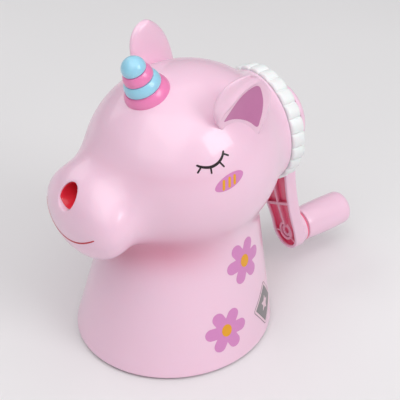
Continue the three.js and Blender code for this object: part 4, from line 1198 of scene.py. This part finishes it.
makePiece("base_tray", [coverSurface()], coverPlastic, "cover_pink", ["base_cover"], "base")
footRadius, footDrop, footTop = cover["footRadius"], cover["footDrop"], cover["footTop"]
footProfile = softCorners([(0, -footDrop), (footRadius, -footDrop), (footRadius, footTop), (0, footTop)],
                          [0, 0.5, 0.15, 0], False, 6)
for name, x, y in (("front", -1, 0), ("rear", 1, 0), ("left", 0, -1), ("right", 0, 1)):
    place = np.array([x * cover["footPlace"], y * cover["footPlace"], 0.0])
    makePiece("rubber_foot_" + name, [turnedSurface(footProfile, place, alongZ, 64)], footRubber,
              "foot_rubber", ["foot_" + name], "base")
print("base made")


# CAD nodes that stay, with their finishes

finishes = (
    (brightSteel, ("guide_screw_left", "guide_screw_right", "mane_screw_1", "mane_screw_2",
                   "gear_screw_1", "gear_screw_2", "gear_screw_3", "cutter_axle", "crank_shaft",
                   "shaft_pin", "hub_washer", "hub_screw")),
    (pinkPlastic, ("horn_pin",)),
    (greyPlastic, ("cutter_housing", "ring_gear")),
    (turnedBrass, ("shaft_bush",)),
    (castZinc, ("cutter_carrier",)),
    (cutterSteel, ("helical_cutter", "cutter_pinion")),
)
for material, names in finishes:
    for name in names:
        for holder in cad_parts[name].material_slots:
            holder.material = material
print("CAD finishes set")


# Floor, light and camera

def paleFloor():
    shade = Shade("pale floor")
    cloud = shade.noise(6.0, 2.0)
    skin = shade.blend(cloud, (0.80, 0.79, 0.80, 1.0), (0.84, 0.83, 0.84, 1.0))
    return shade.finish({"Base Color": skin, "Roughness": 0.6 + 0.1 * (cloud - 0.5)})


floorHalf = 6.0
floorMesh = bpy.data.meshes.new("floor")
floorCorners = [(x * floorHalf, y * floorHalf, 0) for x, y in ((-1, -1), (1, -1), (1, 1), (-1, 1))]
floorMesh.from_pydata(floorCorners, [], [(0, 1, 2, 3)])
floorMesh.materials.append(paleFloor())
floor = bpy.data.objects.new("floor", floorMesh)
bpy.context.scene.collection.objects.link(floor)


# puts a lamp or camera in its place, looking at a point
def aimed(name, data, place, aim):
    holder = bpy.data.objects.new(name, data)
    holder.location = place
    holder.rotation_euler = (Vector(aim) - Vector(place)).to_track_quat("-Z", "Y").to_euler()
    bpy.context.scene.collection.objects.link(holder)
    return holder


studio = {
    # name: place, aimed at, width, height, power
    "cheek softbox": ((0.18, -0.52, 0.445), (-0.018, -0.025, 0.09), 0.31, 0.29, 1.4),
    "overhead": ((0.0, -0.2, 1.2), (0.0, 0.0, 0.05), 1.6, 1.6, 8.0),
    "front fill": ((-0.8, -0.5, 1.25), (0.0, 0.0, 0.06), 1.5, 1.5, 7.5),
    "back rim": ((-0.1, 1.0, 0.7), (0.0, 0.0, 0.08), 1.0, 0.6, 2.2),
}
for name, (place, aim, width, height, power) in studio.items():
    lamp = bpy.data.lights.new(name, "AREA")
    lamp.shape = "RECTANGLE"
    lamp.size = width
    lamp.size_y = height
    lamp.energy = power
    aimed(name, lamp, place, aim)

world = bpy.data.worlds.new("studio")
world.use_nodes = True
background = world.node_tree.nodes["Background"]
background.inputs["Color"].default_value = (1.0, 0.985, 0.99, 1.0)
background.inputs["Strength"].default_value = 0.22
bpy.context.scene.world = world

view = {
    "place": (-0.2041, -0.2711, 0.2885), "aim": (-0.00716, 0.0, 0.04772),
    "lens": 104.15, "sensor": 36.0, "roll": 0.33, "nearest": 0.01,
}
cameraData = bpy.data.cameras.new("camera")
cameraData.lens = view["lens"]
cameraData.sensor_width = view["sensor"]
cameraData.clip_start = view["nearest"]
camera = aimed("camera", cameraData, view["place"], view["aim"])
camera.rotation_euler.rotate_axis("Z", math.radians(view["roll"]))
bpy.context.scene.camera = camera
bpy.context.scene.view_settings.view_transform = "Standard"
